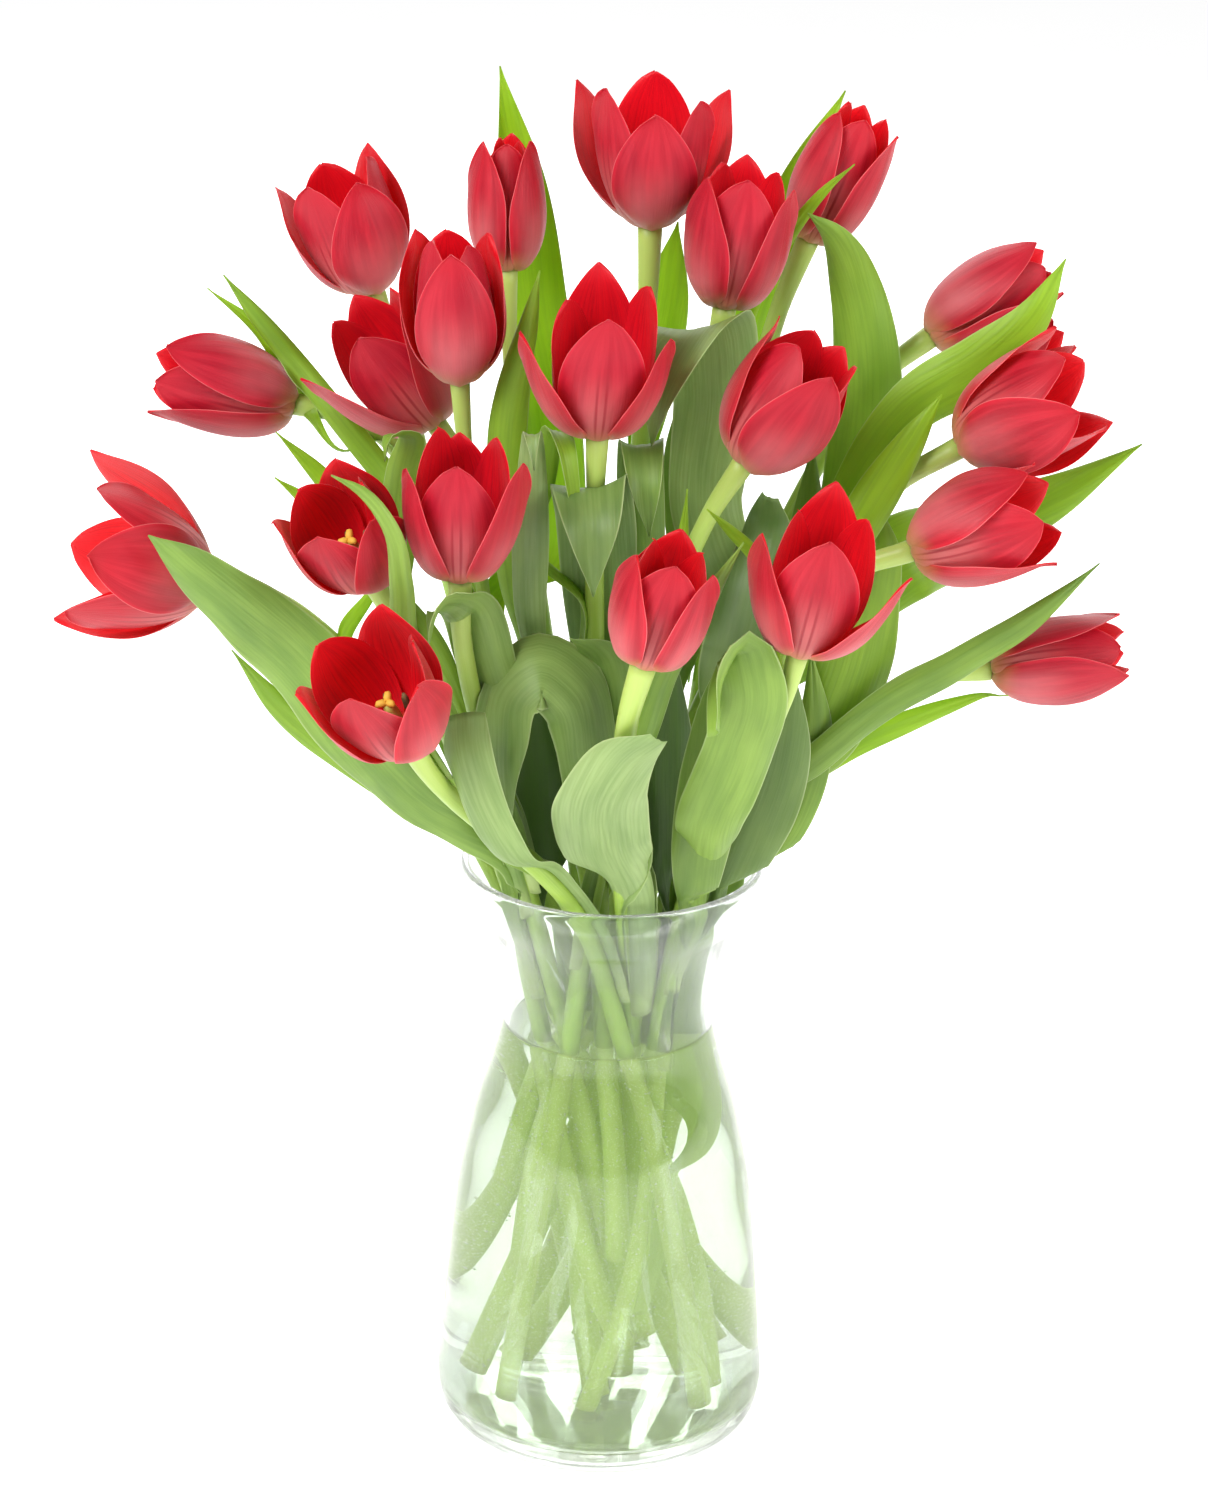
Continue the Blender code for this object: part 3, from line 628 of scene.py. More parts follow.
def petal(length, belly, flare, inner, s, w, wave):
    """Points of one petal around +Z with its midrib towards +X, rows s along it and w across.

    Radius and height add up the sine and cosine of the midrib's angle, scaled so that the bulge
    reaches the belly; across it the blade follows a circle about the flower's axis. On top come a
    ridge or a double groove along the midrib, a wavy edge, and a tip drawn out to a point.
    """
    fine = np.linspace(0, 1, 121)
    cup = np.radians(curve(CUP_AT, CUP_DEG, fine))
    out = np.radians(flare * curve(CUP_AT, FLARE_SHARE, fine))
    out = out + np.radians(-10 if inner else 14) * np.clip((fine - 0.86) / 0.14, 0, 1)
    step = length / 120 * 1.12
    bulge = np.concatenate([[0], np.cumsum(np.sin(cup[:-1]))]) * step
    reach = (belly - RECEPTACLE_R - (2.0 if inner else 0)) / bulge.max()
    opening = np.concatenate([[0], np.cumsum(np.sin(out[:-1]))]) * step
    radius = RECEPTACLE_R + reach * bulge + opening
    rise = np.concatenate([[0], np.cumsum(np.cos(cup[:-1] + out[:-1]))]) * step
    slope = np.interp(s, fine, np.arctan2(np.gradient(radius), np.gradient(rise)))[:, None]
    radius = np.interp(s, fine, radius)
    rise = np.interp(s, fine, rise)
    half = belly * (1.0 if inner else 0.98) * curve(WIDTH_AT, INNER_WIDTH if inner else OUTER_WIDTH, s)
    flatter = [1.0, 1.12, 1.35, 1.8] if inner else [1.0, 1.05, 1.2, 1.6]
    bend = np.maximum(radius, 5.0) * np.interp(s, [0, .3, .65, 1], flatter)
    angle = (half / bend)[:, None] * w
    inward = bend[:, None] * (1 - np.cos(angle))
    if inner:
        relief = -0.45 * np.exp(-((np.abs(w) - 0.09) / 0.05) ** 2) * np.sin(math.pi * s ** 0.7)[:, None]
    else:
        relief = 0.35 * np.exp(-(w / 0.10) ** 2) * np.clip(1.2 - s, 0, 1)[:, None]
    ripple = np.sin(s[:, None] * 9 + wave * 7 + 2.0 * np.sign(w)) * 0.5
    edge = (ripple + 0.55) * np.abs(w) ** 4 * np.clip(s * 2 - 0.4, 0, 1)[:, None]
    outward = relief + edge - inward
    x = radius[:, None] + np.cos(slope) * outward
    z = rise[:, None] - np.sin(slope) * outward
    y = bend[:, None] * np.sin(angle)
    return np.stack([x, y, z], -1)


def tube_ends(path, radii, sides):
    """A tube whose first and last rings are so narrow that they close it."""
    radii = np.asarray(radii, float)
    path = np.concatenate([path[:1], path, path[-1:]])
    return tube(path + np.linspace(0, 1e-3, len(path))[:, None], [0.01, *radii, 0.01], sides)


def gather(parts):
    """Points, faces and marks of several parts as one mesh."""
    points = np.concatenate([part[0] for part in parts])
    start = np.cumsum([0] + [len(part[0]) for part in parts[:-1]])
    faces = np.concatenate([part[1] + first for part, first in zip(parts, start)])
    marks = {name: np.concatenate([part[2][name] for part in parts]) for name in parts[0][2]}
    return points, faces, marks


satin = Finish(bpy.data.materials.new("red_petal"))
marks = {name: satin.node("Attribute", {"attribute_name": name})["Fac"]
         for name in ("run", "across", "inside", "inner", "tone")}
run, inside = marks["run"], marks["inside"]
edge_near = abs(marks["across"])
fine_veins = satin.grain(
    satin.join(marks["across"] * 22.0, run * 2.4, marks["tone"] * 40.0), 1.0, 4.0, 0.6)
broad_veins = satin.grain(
    satin.join(marks["across"] * 5.0, run * 1.6, marks["tone"] * 70.0), 1.0, 2.0)
mottle = satin.grain(satin.node("TexCoord")["Object"], 90.0, 4.0)
colour = satin.blend(broad_veins.ease(0.3, 0.7), rgb(160, 16, 40), rgb(196, 40, 58))
colour = satin.blend(fine_veins.ease(0.4, 0.75) * 0.35, colour, rgb(160, 16, 40))
# painted highlight: a pale pink sheen painted over the middle and lower part of each petal, away from
# its edges
bloom_and_sheen = run.ease(0.72, 0.25) * edge_near.ease(0.9, 0.3)
colour = satin.blend(bloom_and_sheen * (0.25 + mottle * 0.5), colour, rgb(234, 150, 152))
rib = edge_near.ease(0.05, 0.085) * edge_near.ease(0.15, 0.10) * run.ease(0.85, 0.5)
band = edge_near.ease(0.42, 0.1) * run.ease(0.7, 0.1)
colour = satin.blend(marks["inner"] * band * 0.55, colour, rgb(196, 116, 104))
colour = satin.blend(marks["inner"] * rib * 0.7, colour, rgb(132, 24, 40))
colour = satin.blend(run.ease(0.30, 0.04) * (0.5 + mottle * 0.5), colour, rgb(210, 166, 104))
colour = satin.blend(run.ease(0.10, 0.0) * 0.7, colour, rgb(186, 190, 110))
colour = satin.blend(run.ease(0.70, 1.0) * 0.7, colour, rgb(176, 8, 34))
colour = satin.blend(edge_near.ease(0.86, 0.97) * 0.55, colour, rgb(222, 30, 56))
colour = satin.blend(edge_near.ease(0.97, 1.0) * 0.6, colour, rgb(244, 150, 150))
heart = satin.blend(fine_veins.ease(0.35, 0.75), rgb(228, 8, 26), rgb(186, 0, 20))
heart = satin.blend(run.ease(0.14, 0.02), heart, rgb(214, 170, 60))
colour = satin.blend(inside, colour, heart)
colour = satin.blend(marks["tone"] * 0.2, colour, rgb(168, 16, 56))
relief = satin.node("Bump", None, Strength=0.35, Distance=0.0004, Height=fine_veins + mottle * 0.4)
skin_shader = satin.node("BsdfPrincipled", None, Base_Color=colour,
                         Roughness=0.36 + mottle * 0.18, Normal=relief, Specular_IOR_Level=0.4,
                         Sheen_Weight=0.12, Sheen_Roughness=0.4)
glow = satin.node("BsdfTranslucent", None, Color=rgb(255, 40, 40), Normal=relief)
petal_skin = satin.close(satin.mix(PETAL_THROUGH, skin_shader, glow))

heart_paint = Finish(bpy.data.materials.new("pistil_and_stamens"))
part = heart_paint.node("Attribute", {"attribute_name": "part"})["Fac"]
speck = heart_paint.grain(heart_paint.node("TexCoord")["Object"], 900.0)
colour = heart_paint.blend(part.ease(0.4, 0.6), rgb(178, 196, 96), rgb(226, 178, 60))
colour = heart_paint.blend(part.ease(1.4, 1.6), colour, rgb(52, 34, 44))
colour = heart_paint.blend(speck * 0.35, colour, rgb(214, 190, 90))
heart_skin = heart_paint.close(heart_paint.node("BsdfPrincipled", None, Base_Color=colour,
                                                Roughness=0.6 + speck * 0.2))

rng = np.random.default_rng(21)
s = 1 - (1 - np.linspace(0, 1, 30)) ** 1.15
w = np.sin(np.linspace(-1, 1, 17) * math.pi / 2)
for number, (base, lean, (length, belly), (flare, roll), _) in enumerate(TULIPS, 1):
    axis, front, side = flower_frame(*lean)
    turn = np.stack([front, side, axis])
    base = np.array(base, float)
    flares, lengths = PETAL_POSE.get(number, ((0,) * 6, (1,) * 6))
    tone = rng.random()
    parts = []
    for k in range(6):
        inner = k >= 3
        az = math.radians(roll + 120 * (k % 3) + (60 if inner else 0) + rng.uniform(-5, 5))
        open_by = flare + flares[k] + rng.uniform(-2.5, 2.5) - (3 if inner else 0)
        long = length * lengths[k] * rng.uniform(0.97, 1.03)
        grid = petal(long, belly, open_by, inner, s, w, rng.random())
        skew = az + 0.10 * rng.uniform(-1, 1) * s[:, None] ** 2
        x, y, z = np.moveaxis(grid, -1, 0)
        grid = np.stack([x * np.cos(skew) - y * np.sin(skew),
                         x * np.sin(skew) + y * np.cos(skew), z], -1)
        ends = np.interp(s, [0, .1, .9, 1], [.6, 1, 1, .5])[:, None]
        thick = PETAL_THICK * (1 - 0.65 * np.abs(w) ** 3) * ends
        points, faces = closed_sheet(grid @ turn + base, thick)
        sheets = points[[len(points) // 4, 3 * len(points) // 4]] - base
        both_sides = np.zeros((2, len(s), len(w)))
        both_sides[int((sheets[0] ** 2).sum() > (sheets[1] ** 2).sum())] = 1
        parts.append((points, faces, {
            "run": np.tile(np.repeat(s, len(w)), 2), "across": np.tile(w, 2 * len(s)),
            "inside": both_sides.ravel(), "inner": np.full(len(points), float(inner)),
            "tone": np.full(len(points), tone)}))
    points, faces, marks = gather(parts)
    add_piece(f"tulip_{number:02d}_petals", points, faces, petal_skin, "petal",
              [f"flower_{number:02d}"], **marks)

    pistil = base + axis * (np.linspace(0.02, 0.46, 10) * length)[:, None]
    parts = [(*tube_ends(pistil, np.interp(np.arange(10), [0, 2, 7, 9], [1.6, 2.6, 2.3, 1.7]), 12),)]
    parts[0] += ({"part": np.zeros(len(parts[0][0]))},)
    for k in range(3):
        a = math.radians(roll + 120 * k)
        away = front * math.cos(a) + side * math.sin(a)
        lobe = pistil[-1] + axis * np.array([-0.4, 0.8, 1.2, 0.6])[:, None] \
            + away * np.array([0.3, 1.4, 2.6, 3.4])[:, None]
        points, faces = tube_ends(lobe, [0.9, 1.3, 1.1, 0.6], 8)
        parts.append((points, faces, {"part": np.full(len(points), 1.0)}))
    for k in range(6):
        a = math.radians(roll + 60 * k + 30)
        away = front * math.cos(a) + side * math.sin(a)
        climb = np.array([0.04, 0.14, 0.24])[:, None] * length
        thread = base + axis * climb + away * np.array([2.8, 4.6, 5.4])[:, None]
        points, faces = tube_ends(thread, [0.7, 0.6, 0.4], 8)
        parts.append((points, faces, {"part": np.zeros(len(points))}))
        climb = np.array([0.23, 0.27, 0.36, 0.40])[:, None] * length
        sac = base + axis * climb + away * np.array([5.4, 5.6, 6.0, 6.2])[:, None]
        points, faces = tube_ends(sac, [0.7, 1.2, 1.1, 0.5], 8)
        parts.append((points, faces, {"part": np.full(len(points), 2.0)}))
    points, faces, marks = gather(parts)
    add_piece(f"tulip_{number:02d}_heart", points, faces, heart_skin, "petal", **marks)

# ------------------------------------------------------------------ the leaves
# Long pointed leaves with fine parallel veins and a grey bloom of wax. Each clasps its stem at the
# base, opens to a shallow channel, and stands up, hangs over, folds or rolls back at its end.
LEAF_THICK = 0.55
CLASP_R = 4.0              # radius of the channel in which a leaf's base holds the stem

# the stem that carries it: its number, the height there, and the side of it (degrees from +X) |
# turn of the blade about its midrib at its base and its tip (degrees; 0 faces the front) | curl,
# above 0 if the blade is hollow at the back | grey bloom, painted yellow backlight, painted
# shade | x y z and width of the places along its midrib
LEAVES = {
    "tall_back": ((3, 300, 60), (0, 0), -0.4, (0.0, 0.75, 0.0), [
        (-21, 12, 304, 14), (-23, 27, 345, 21), (-31, 35, 385, 25), (-35, 38, 425, 17),
        (-42, 37, 461, 0)]),
    "right_broad": ((13, 278, 30), (0, 0), 0.4, (0.15, 0.3, 0.1), [
        (71, 4, 309, 20), (77, 8, 342, 24), (78, 10, 372, 23), (73, 10, 398, 18),
        (65, 2, 417, 9), (56, -4, 426, 0)]),
    "right_light": ((13, 305, 90), (0, 0), 0.3, (0.1, 0.7, 0.0), [
        (73, -9, 337, 13), (91, -6, 364, 18), (113, -5, 379, 20), (127, -5, 393, 13),
        (137, -6, 414, 0)]),
    "right_low_light": ((13, 273, 315), (0, 0), 0.4, (0.0, 0.75, 0.0), [
        (69, -29, 319, 13), (81, -28, 343, 15), (91, -28, 361, 10), (99, -26, 375, 0)]),
    "right_wide": ((13, 260, 90), (0, 0), 0.4, (0.0, 0.4, 0.1), [
        (66, 16, 281, 24), (94, 15, 307, 31), (119, 42, 308, 25), (144, 34, 324, 15),
        (170, 33, 342, 0)]),
    "right_long": ((13, 219, 255), (0, 0), 0.4, (0.2, 0.15, 0.3), [
        (63, -25, 249, 11), (86, -25, 270, 12), (108, -25, 284, 12), (131, -25, 300, 9),
        (152, -24, 320, 0)]),
    "right_drop": ((13, 229, 30), (0, 0), 0.3, (0.1, 0.35, 0.2), [
        (65, -19, 252, 22), (76, -18, 279, 26), (80, -16, 301, 22), (82, -12, 323, 15),
        (80, -1, 331, 5)]),
    "dark_broad": ((14, 269, 135), (0, 0), 0.3, (0.3, 0.0, 0.7), [
        (38, -36, 273, 22), (42, -33, 310, 24), (46, -24, 328, 16), (46, -39, 344, 6)]),
    "big_fold": ((14, 278, 135), (0, 0), 0.3, (0.75, 0.1, 0.0), [
        (27, -9, 333, 24), (29, -8, 369, 28), (25, -18, 392, 30), (19, -34, 391, 27),
        (12, -39, 377, 17), (9, -36, 359, 0)]),
    "arch_fold": ((17, 213, 60), (10, -85), 0.25, (0.6, 0.1, 0.1), [
        (-7, -54, 261, 25), (-13, -60, 286, 27), (-24, -62, 294, 27), (-34, -63, 286, 24),
        (-36, -67, 270, 18), (-34, -66, 246, 6)]),
    "rolled": ((16, 218, 285), (0, 0), 0.3, (0.4, 0.25, 0.0), [
        (30, -64, 243, 22), (38, -79, 274, 23), (41, -90, 301, 21), (37, -91, 312, 19),
        (32, -95, 304, 18), (31, -104, 290, 13)]),
    "front_light": ((17, 209, 285), (0, 0), 0.3, (1.0, 0.1, 0.0), [
        (-3, -74, 240, 31), (-3, -90, 262, 29), (4, -96, 277, 20), (13, -103, 287, 7)]),
    "front_left_light": ((20, 217, 345), (20, 20), 0.4, (0.9, 0.1, 0.0), [
        (-33, -82, 240, 13), (-43, -87, 263, 17), (-47, -85, 276, 19), (-48, -79, 285, 15)]),
    "left_broad": ((18, 222, 165), (0, 0), 0.3, (0.35, 0.1, 0.15), [
        (-59, -46, 240, 20), (-80, -59, 268, 27), (-99, -48, 288, 28), (-119, -57, 310, 22),
        (-133, -58, 322, 16), (-146, -55, 332, 0)]),
    "left_under": ((19, 212, 285), (0, 0), 0.3, (0.1, 0.35, 0.2), [
        (-61, -34, 234, 10), (-88, -34, 252, 12), (-107, -39, 270, 9), (-122, -39, 289, 0)]),
    "left_tall": ((3, 305, 150), (0, 0), 0.5, (0.1, 0.35, 0.2), [
        (-76, -1, 336, 9), (-91, 2, 354, 9), (-105, 7, 370, 8), (-118, 7, 386, 6),
        (-128, 9, 398, 0)]),
}
# leaves that rise from the nearest stem and lie among the others
INNER_LEAVES = {
    "twist_left": ((20, 20), 0.5, (0.1, 0.4, 0.1), [
        (-28, -34, 276, 5), (-34, -34, 313, 12), (-37, -34, 346, 15), (-36, -32, 371, 13),
        (-31, -30, 394, 8), (-27, -28, 412, 0)]),
    "mid_grey": ((0, 0), 0.4, (0.8, 0.0, 0.1), [
        (-27, -40, 275, 5), (-28, -46, 311, 11), (-28, -50, 338, 12), (-28, -48, 361, 8),
        (-28, -54, 367, 6), (-27, -58, 357, 0)]),
    "small_hang": ((0, 0), 0.4, (0.1, 0.3, 0.1), [
        (-25, -30, 319, 3), (-24, -34, 346, 7), (-21, -40, 364, 8), (-18, -48, 361, 7),
        (-15, -50, 345, 5), (-13, -50, 332, 0)]),
    "broad_fold": ((0, 0), 0.3, (0.45, 0.0, 0.4), [
        (-4, -24, 263, 12), (-6, -30, 302, 23), (-8, -36, 334, 26), (-10, -46, 348, 25),
        (-9, -58, 342, 20), (-8, -62, 318, 0)]),
    "round_fold": ((0, 0), 0.4, (0.35, 0.1, 0.3), [
        (11, -16, 281, 7), (8, -18, 315, 14), (6, -24, 347, 16), (6, -34, 358, 15),
        (7, -42, 350, 12), (9, -42, 331, 0)]),
    "under_fold": ((0, 0), 0.3, (0.2, 0.1, 0.5), [
        (24, 6, 276, 6), (22, 12, 312, 14), (21, 14, 342, 15), (21, 14, 369, 0)]),
    "back_mid": ((0, 0), -0.3, (0.0, 0.7, 0.0), [
        (6, 20, 333, 8), (9, 26, 362, 16), (13, 30, 391, 15), (16, 32, 413, 0)]),
    "back_right_tall": ((0, 0), -0.4, (0.0, 0.7, 0.0), [
        (26, 30, 320, 9), (34, 36, 356, 16), (46, 44, 398, 18), (58, 50, 430, 11),
        (69, 54, 452, 0)]),
    "narrow_front": ((0, 0), 0.5, (0.0, 0.6, 0.0), [
        (34, 14, 359, 3), (40, 12, 392, 6), (53, 8, 419, 5), (62, 4, 432, 3), (70, 0, 441, 0)]),
    "right_under": ((0, 0), 0.3, (0.0, 0.7, 0.0), [
        (45, -12, 221, 4), (76, -12, 250, 9), (102, -12, 263, 7), (126, -12, 273, 0)]),
    "dark_slim": ((0, 0), 0.3, (0.1, 0.1, 0.6), [
        (53, 2, 282, 6), (60, 2, 320, 12), (61, 2, 350, 0)]),
    "tip_a": ((0, 0), 0.4, (0.0, 0.55, 0.0), [
        (21, -60, 304, 3), (19, -60, 330, 5), (20, -60, 353, 0)]),
    "tip_b": ((0, 0), 0.4, (0.0, 0.5, 0.1), [
        (48, -64, 313, 3), (42, -66, 333, 5), (34, -68, 342, 4), (26, -70, 350, 0)]),
    "front_wrap": ((0, 0), 0.5, (0.3, 0.2, 0.1), [
        (5, -52, 243, 6), (8, -70, 276, 12), (14, -80, 301, 13), (25, -84, 322, 9),
        (37, -86, 345, 0)]),
    "arch_back": ((0, 0), 0.3, (0.4, 0.1, 0.3), [
        (-4, -36, 240, 9), (-2, -44, 270, 18), (-6, -52, 295, 14), (-15, -62, 304, 0)]),
    "dark_front": ((0, 0), 0.3, (0.1, 0.0, 0.9), [
        (18, -28, 209, 9), (17, -32, 246, 19), (16, -34, 281, 9), (15, -34, 300, 0)]),
    "wavy_front": ((0, 0), 0.4, (0.25, 0.1, 0.45), [
        (25, -38, 196, 9), (28, -52, 230, 20), (31, -56, 259, 21), (33, -56, 283, 13),
        (35, -56, 301, 0)]),
    "dark_right": ((0, 0), 0.3, (0.25, 0.05, 0.65), [
        (33, -30, 198, 9), (45, -36, 227, 21), (53, -40, 258, 20), (55, -40, 291, 0)]),
    "dark_right_back": ((0, 0), 0.3, (0.2, 0.2, 0.3), [
        (34, -14, 194, 7), (57, -20, 226, 14), (64, -22, 257, 13), (62, -22, 288, 0)]),
    "left_tall_b": ((0, 0), 0.4, (0.0, 0.5, 0.0), [
        (-89, 10, 340, 3), (-106, 14, 362, 7), (-117, 16, 377, 6), (-134, 18, 391, 0)]),
    "left_small": ((0, 0), 0.4, (0.0, 0.75, 0.0), [
        (-68, -16, 302, 3), (-85, -18, 328, 8), (-97, -20, 343, 6), (-109, -22, 356, 0)]),
    "left_small_b": ((0, 0), 0.4, (0.0, 0.75, 0.0), [
        (-78, -20, 307, 3), (-92, -24, 325, 7), (-100, -26, 335, 5), (-109, -28, 343, 0)]),
    "front_left_cross": ((0, 0), 0.5, (0.4, 0.35, 0.0), [
        (-39, -54, 250, 4), (-55, -70, 284, 8), (-65, -80, 309, 9), (-66, -88, 329, 8),
        (-69, -92, 348, 6), (-78, -92, 360, 4), (-87, -92, 365, 0)]),
    "spiral": ((0, 0), 0.3, (0.2, 0.3, 0.1), [
        (-68, -28, 290, 5), (-70, -34, 325, 12), (-68, -40, 350, 11), (-66, -46, 363, 8),
        (-72, -52, 364, 6), (-73, -52, 357, 0)]),
    "fold_over": ((0, 0), 0.3, (0.55, 0.15, 0.1), [
        (-36, -56, 267, 9), (-41, -62, 296, 19), (-48, -70, 316, 18), (-55, -78, 318, 15),
        (-58, -80, 306, 0)]),
    "left_arch": ((0, 0), 0.3, (0.45, 0.1, 0.1), [
        (-38, -50, 258, 6), (-41, -56, 287, 12), (-44, -62, 311, 0)]),
    "slim_a": ((0, 0), 0.4, (0.2, 0.3, 0.1), [
        (-46, -46, 267, 4), (-59, -44, 296, 8), (-74, -40, 317, 0)]),
    "slim_b": ((0, 0), 0.4, (0.2, 0.2, 0.2), [
        (-40, -40, 240, 4), (-49, -38, 267, 9), (-59, -36, 290, 8), (-69, -34, 309, 0)]),
    "dark_inner": ((0, 0), 0.3, (0.1, 0.0, 0.9), [
        (-22, -20, 197, 10), (-24, -24, 227, 25), (-25, -26, 258, 12), (-25, -26, 272, 0)]),
    "in_vase": ((0, 0), 0.3, (0.6, 0.3, 0.0), [
        (24, -8, 105, 14), (25, -8, 130, 24), (23, -8, 155, 22), (28, -8, 186, 14), (33, -6, 206, 0)]),
}


def smooth_step(t, low, high):
    """0 below low and 1 above high, with a smooth rise between them."""
    t = np.clip((t - low) / (high - low), 0, 1)
    return t * t * (3 - 2 * t)


def blade(path, foot, outward, turn, curl, spine, rows, columns, phase):
    """Points of a leaf, its length so far and its distance from the midrib, both in millimetres.

    The midrib is a curve that runs down its stem's outward side for the last 50 mm, then through the
    foot and the leaf's places. Its cross-section is an arc about the back, or about the front if curl
    is below 0. The arc holds the stem up to the foot and opens within 30 mm of it, while the blade
    turns from outward to its own direction. The edges wave a little, and the midrib is a shallow
    groove.
    """
    spine = np.array(spine, float)
    heights = np.maximum(foot[2] - np.array([50.0, 25.0, 0.0]), [20.0, 30.0, 40.0])
    held = np.stack([np.interp(heights, path[:, 2], column) for column in path.T], -1)
    held += outward * (STEM_R + 0.7)
    broad = min(max(0.8 * spine[0, 3], 7.0), 22.0)
    widths = np.concatenate([[broad * 0.7, broad * 0.9, broad], spine[:, 3]])
    places = np.concatenate([held, spine[:, :3]])
    run = run_length(places)
    reach = run[2]
    want = np.linspace(0, run[-1], rows)
    middle = curve(run, places, want)
    half = np.maximum(curve(run, widths, want), 0.5) / 2
    first = unit(np.cross([0.0, 1.0, 0.0], unit(held[1] - held[0])))
    tangent, across = carried_frames(middle, first)
    face = np.cross(across, tangent) * np.sign(curl)
    low = np.searchsorted(want, reach)
    swing = math.atan2(outward @ across[low], outward @ face[low])
    own = np.radians(turn[0] + (turn[1] - turn[0]) * want / run[-1])
    opened = smooth_step(want - reach, -8, 30)
    angle = swing * np.sign(curl) * (1 - opened) + own * opened
    sine, cosine = np.sin(angle)[:, None], np.cos(angle)[:, None]
    flat = np.cross(across, tangent)
    across, flat = across * cosine + flat * sine, flat * cosine - across * sine
    face = flat * np.sign(curl)
    body = abs(curl) * 1.5 * (1 + 0.5 * smooth_step(want / run[-1], 0.7, 1.0))
    bend = half / CLASP_R * (1 - opened) + body * opened
    bend = np.clip(bend, 0.05, 1.6)
    w = np.sin(np.linspace(-1, 1, columns) * math.pi / 2)
    arc = bend[:, None] * w
    spread = half[:, None] * np.sin(arc) / bend[:, None]
    drop = half[:, None] * (1 - np.cos(arc)) / bend[:, None]
    wave = (np.sin(want / 7.0 + phase)[:, None] * w ** 3
            + 0.6 * np.sin(want / 4.3 + phase * 2)[:, None] * w ** 4)
    drop = drop + wave * 0.075 * half[:, None] * opened[:, None]
    drop = drop + 0.35 * np.exp(-(w / 0.12) ** 2) * opened[:, None]
    grid = middle[:, None] + across[:, None] * spread[..., None] - face[:, None] * drop[..., None]
    return grid, want, half[:, None] * w, reach


def kept_inside(grid):
    """Draw a leaf in so that it stays inside the glass below the lip and may lean out above it."""
    height = grid[..., 2]
    limit = inner_radius(np.minimum(height, 202)) - 1.5 + 1.5 * (height - 207).clip(min=0)
    share = np.minimum(1, limit / np.hypot(grid[..., 0], grid[..., 1]).clip(min=1e-6))
    return np.concatenate([grid[..., :2] * share[..., None], grid[..., 2:]], -1)


def kept_clear(grid, want, centres, radii):
    """Shift along Y whatever of a leaf would run through the balls of a stem or a flower.

    A row of the leaf goes round a ball on the side where its middle is, by the ball's half-depth at
    each point less its distance from the middle. The shifts are then spread over their neighbours.
    """
    grid = grid.copy()
    middle = grid[:, grid.shape[1] // 2, 1]
    late = smooth_step(want, 8, 30)[:, None]
    for _ in range(3):
        apart = grid[:, :, None, :] - centres
        flat = radii ** 2 - apart[..., 0] ** 2 - apart[..., 2] ** 2
        depth = np.sqrt(flat.clip(min=0))
        ahead = np.where(middle[:, None, None] < centres[:, 1], -1.0, 1.0)
        lack = np.where(flat > 0, depth - ahead * apart[..., 1], 0).clip(min=0)
        lack = np.where(lack < 2 * radii, lack, 0)
        shift = (ahead * lack)
        low, high = shift.min(2), shift.max(2)
        shift = np.where(-low > high, low, high) * late
        spread = shift
        for _ in range(4):
            wide = np.pad(spread, 1, mode="edge")
            spread = (wide[:-2, 1:-1] + wide[2:, 1:-1] + wide[1:-1, :-2] + wide[1:-1, 2:]
                      + 4 * spread) / 8
            spread = np.where(np.abs(shift) > np.abs(spread), (shift + spread) / 2, spread)
        grid[..., 1] += spread
    return grid


wax = Finish(bpy.data.materials.new("green_leaf"))
marks = {name: wax.node("Attribute", {"attribute_name": name})["Fac"]
         for name in ("run", "aside", "edge", "share", "bloom_and_sheen", "glow", "painted_shade")}
vein_place = wax.join(marks["aside"] * 1.1, marks["run"] * 0.035, marks["glow"] * 50.0)
veins = wax.grain(vein_place, 1.0, 2.0)
patches = wax.grain(
    wax.join(marks["aside"] * 0.13, marks["run"] * 0.035, marks["bloom_and_sheen"] * 40.0), 1.0, 4.0)
colour = wax.blend(patches.ease(0.3, 0.7), rgb(88, 132, 20), rgb(126, 166, 34))
# painted shade: leaves that lie in shadow among the others are painted dark green
colour = wax.blend(marks["painted_shade"], colour, rgb(36, 60, 18))
# painted backlight: the glow mark paints a leaf yellow-green as if lit through from behind; it also
# raises the real translucent share below
colour = wax.blend(marks["glow"], colour, rgb(168, 198, 36))
colour = wax.blend(marks["bloom_and_sheen"] * (0.3 + patches * 0.5), colour, rgb(170, 186, 140))
colour = wax.blend(veins.ease(0.35, 0.7) * 0.28, colour, rgb(70, 104, 30))
colour = wax.blend(marks["edge"].ease(0.93, 1.0) * 0.5, colour, rgb(196, 210, 150))
colour = wax.blend(marks["share"].ease(0.16, 0.0) * 0.6, colour, rgb(196, 210, 140))
height = wax.node("SeparateXYZ", None, Vector=wax.node("TexCoord")["Object"])["Z"]
under_water = height.ease((WATER_LEVEL + 0.4) * MM, (WATER_LEVEL - 0.4) * MM)
# painted light under the water: a paler colour, then an emitted glow
colour = wax.blend(under_water * 0.55, colour, PAINTED_LIGHT_IN_WATER)
painted_water_glow = wax.blend(under_water, rgb(0, 0, 0), PAINTED_GLOW_IN_WATER)
relief = wax.node("Bump", None, Strength=0.5, Distance=0.0003, Height=veins + patches * 0.5)
skin_shader = wax.node("BsdfPrincipled", None, Base_Color=colour, Normal=relief,
                       Roughness=0.38 + patches * 0.2, Specular_IOR_Level=0.45,
                       Emission_Color=painted_water_glow, Emission_Strength=0.2)
glow = wax.node("BsdfTranslucent", None, Color=rgb(176, 220, 60), Normal=relief)
leaf_skin = wax.close(wax.mix(0.16 + marks["glow"] * 0.34, skin_shader, glow))

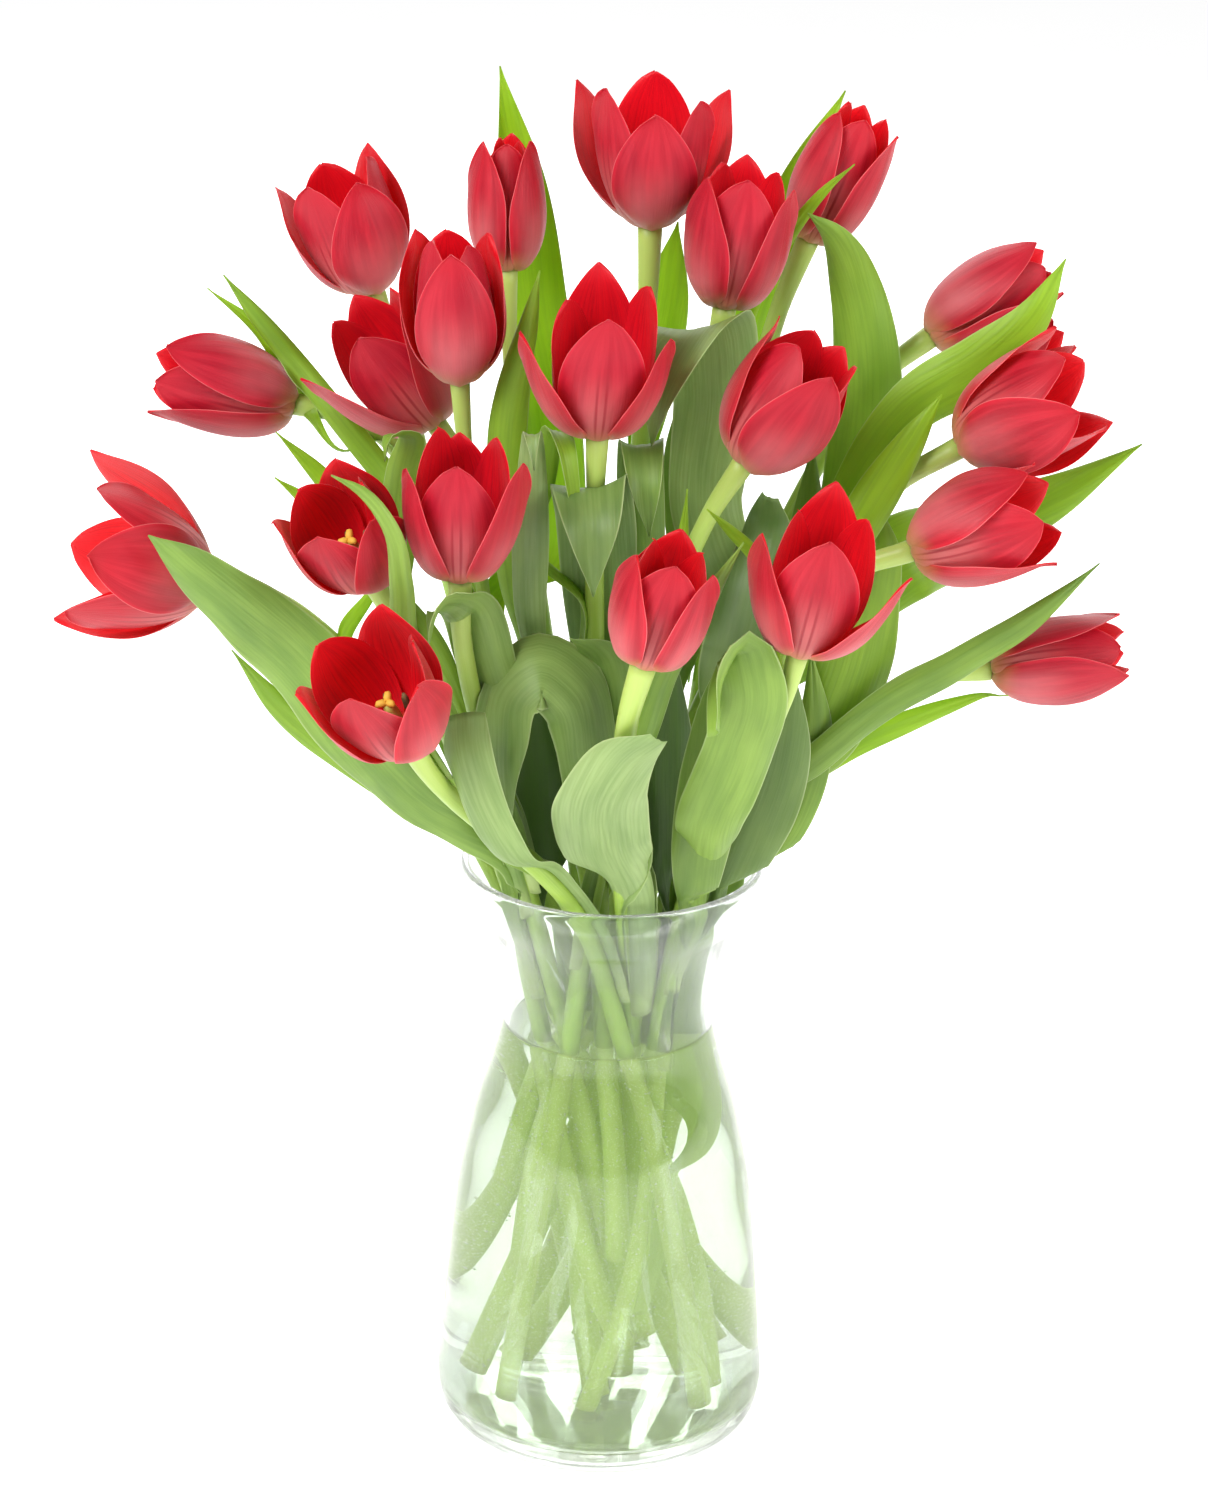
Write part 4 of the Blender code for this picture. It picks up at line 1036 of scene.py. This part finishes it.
stem_balls = np.concatenate(stem_paths)
flower_centres, flower_radii = flower_balls()
centres = np.concatenate([stem_balls, flower_centres])
radii = np.concatenate([np.full(len(stem_balls), 4.4), flower_radii + 1.0])
rows, columns = 64, 15
table_rows = [(name, *row, [f"leaf_{name}"]) for name, row in LEAVES.items()]
table_rows += [(name, None, *row, []) for name, row in INNER_LEAVES.items()]
for name, holder, turn, curl, look, spine, nodes in table_rows:
    if holder:
        number, height, side = holder
        path = stem_paths[number - 1]
        foot = np.array([np.interp(height, path[:, 2], column) for column in path.T])
        side = math.radians(side)
        outward = np.array([math.cos(side), math.sin(side), 0.0])
    else:
        start = np.array(spine[0][:3], float) - (0, 0, 12)
        nearest = np.argmin(np.linalg.norm(stem_balls - start, axis=1))
        path = stem_paths[nearest // len(stem_paths[0])]
        foot = stem_balls[nearest]
        outward = unit(np.array([*(start - foot)[:2], 0.0]) + (0, -1e-3, 0))
    grid, want, aside, reach = blade(path, foot, outward, turn, curl, spine, rows, columns,
                                     rng.uniform(0, 6))
    grid = kept_inside(kept_clear(grid, want - reach, centres, radii))
    share = want / want[-1]
    edge = np.abs(aside) / np.abs(aside).max(1, keepdims=True)
    ends = np.interp(share, [0, 0.05, 0.9, 1], [0.8, 1, 1, 0.5])[:, None]
    thick = LEAF_THICK * (1 - 0.6 * edge ** 4) * ends
    points, faces = closed_sheet(grid, thick)
    twice = {"run": np.broadcast_to(want[:, None], aside.shape), "aside": aside, "edge": edge,
             "share": np.broadcast_to(share[:, None], aside.shape)}
    marks = {mark: np.tile(values.ravel(), 2) for mark, values in twice.items()}
    for mark, value in zip(("bloom_and_sheen", "glow", "painted_shade"), look):
        marks[mark] = np.full(len(points), value)
    add_piece(f"leaf_{name}_blade", points, faces, leaf_skin, "leaf", nodes, **marks)

# ------------------------------------------------------------------ the air bubbles
# Fine bubbles of air that come out of the fresh water and cling to the stems below its surface.
BUBBLES = 1600
corners = np.array([(0, 0, 1), (1, 0, 0), (0, 1, 0), (-1, 0, 0), (0, -1, 0), (0, 0, -1)], float)
ball_faces = np.array([(0, 1, 2), (0, 2, 3), (0, 3, 4), (0, 4, 1), (5, 2, 1), (5, 3, 2), (5, 4, 3),
                       (5, 1, 4)])
air = Finish(bpy.data.materials.new("air_bubble"))
shade = air.grain(air.node("TexCoord")["Object"], 60.0)
air_skin = air.close(air.node(
    "BsdfPrincipled", None, Base_Color=air.blend(shade, rgb(226, 240, 200), rgb(250, 253, 240)),
    Roughness=0.15))
below = np.concatenate([
    np.concatenate([path, unit(np.gradient(path, axis=0))], 1)[path[:, 2] < WATER_LEVEL - 3]
    for path in stem_paths])
pick = rng.integers(0, len(below) - 1, BUBBLES)
between = rng.random((BUBBLES, 1))
spot = below[pick, :3] + below[pick, 3:] * (between - 0.5) * 4.0
around = unit(np.cross(below[pick, 3:], rng.normal(size=(BUBBLES, 3))))
size = rng.uniform(0.25, 0.5, BUBBLES)
spot = spot + around * (STEM_R + 0.15)
spot[:, 2] = np.maximum(spot[:, 2], FLOOR + 2)
points = spot[:, None] + corners * size[:, None, None]
faces = ball_faces + np.arange(BUBBLES)[:, None, None] * 6
add_piece("air_bubbles", points.reshape(-1, 3), faces.reshape(-1, 3), air_skin, "water")
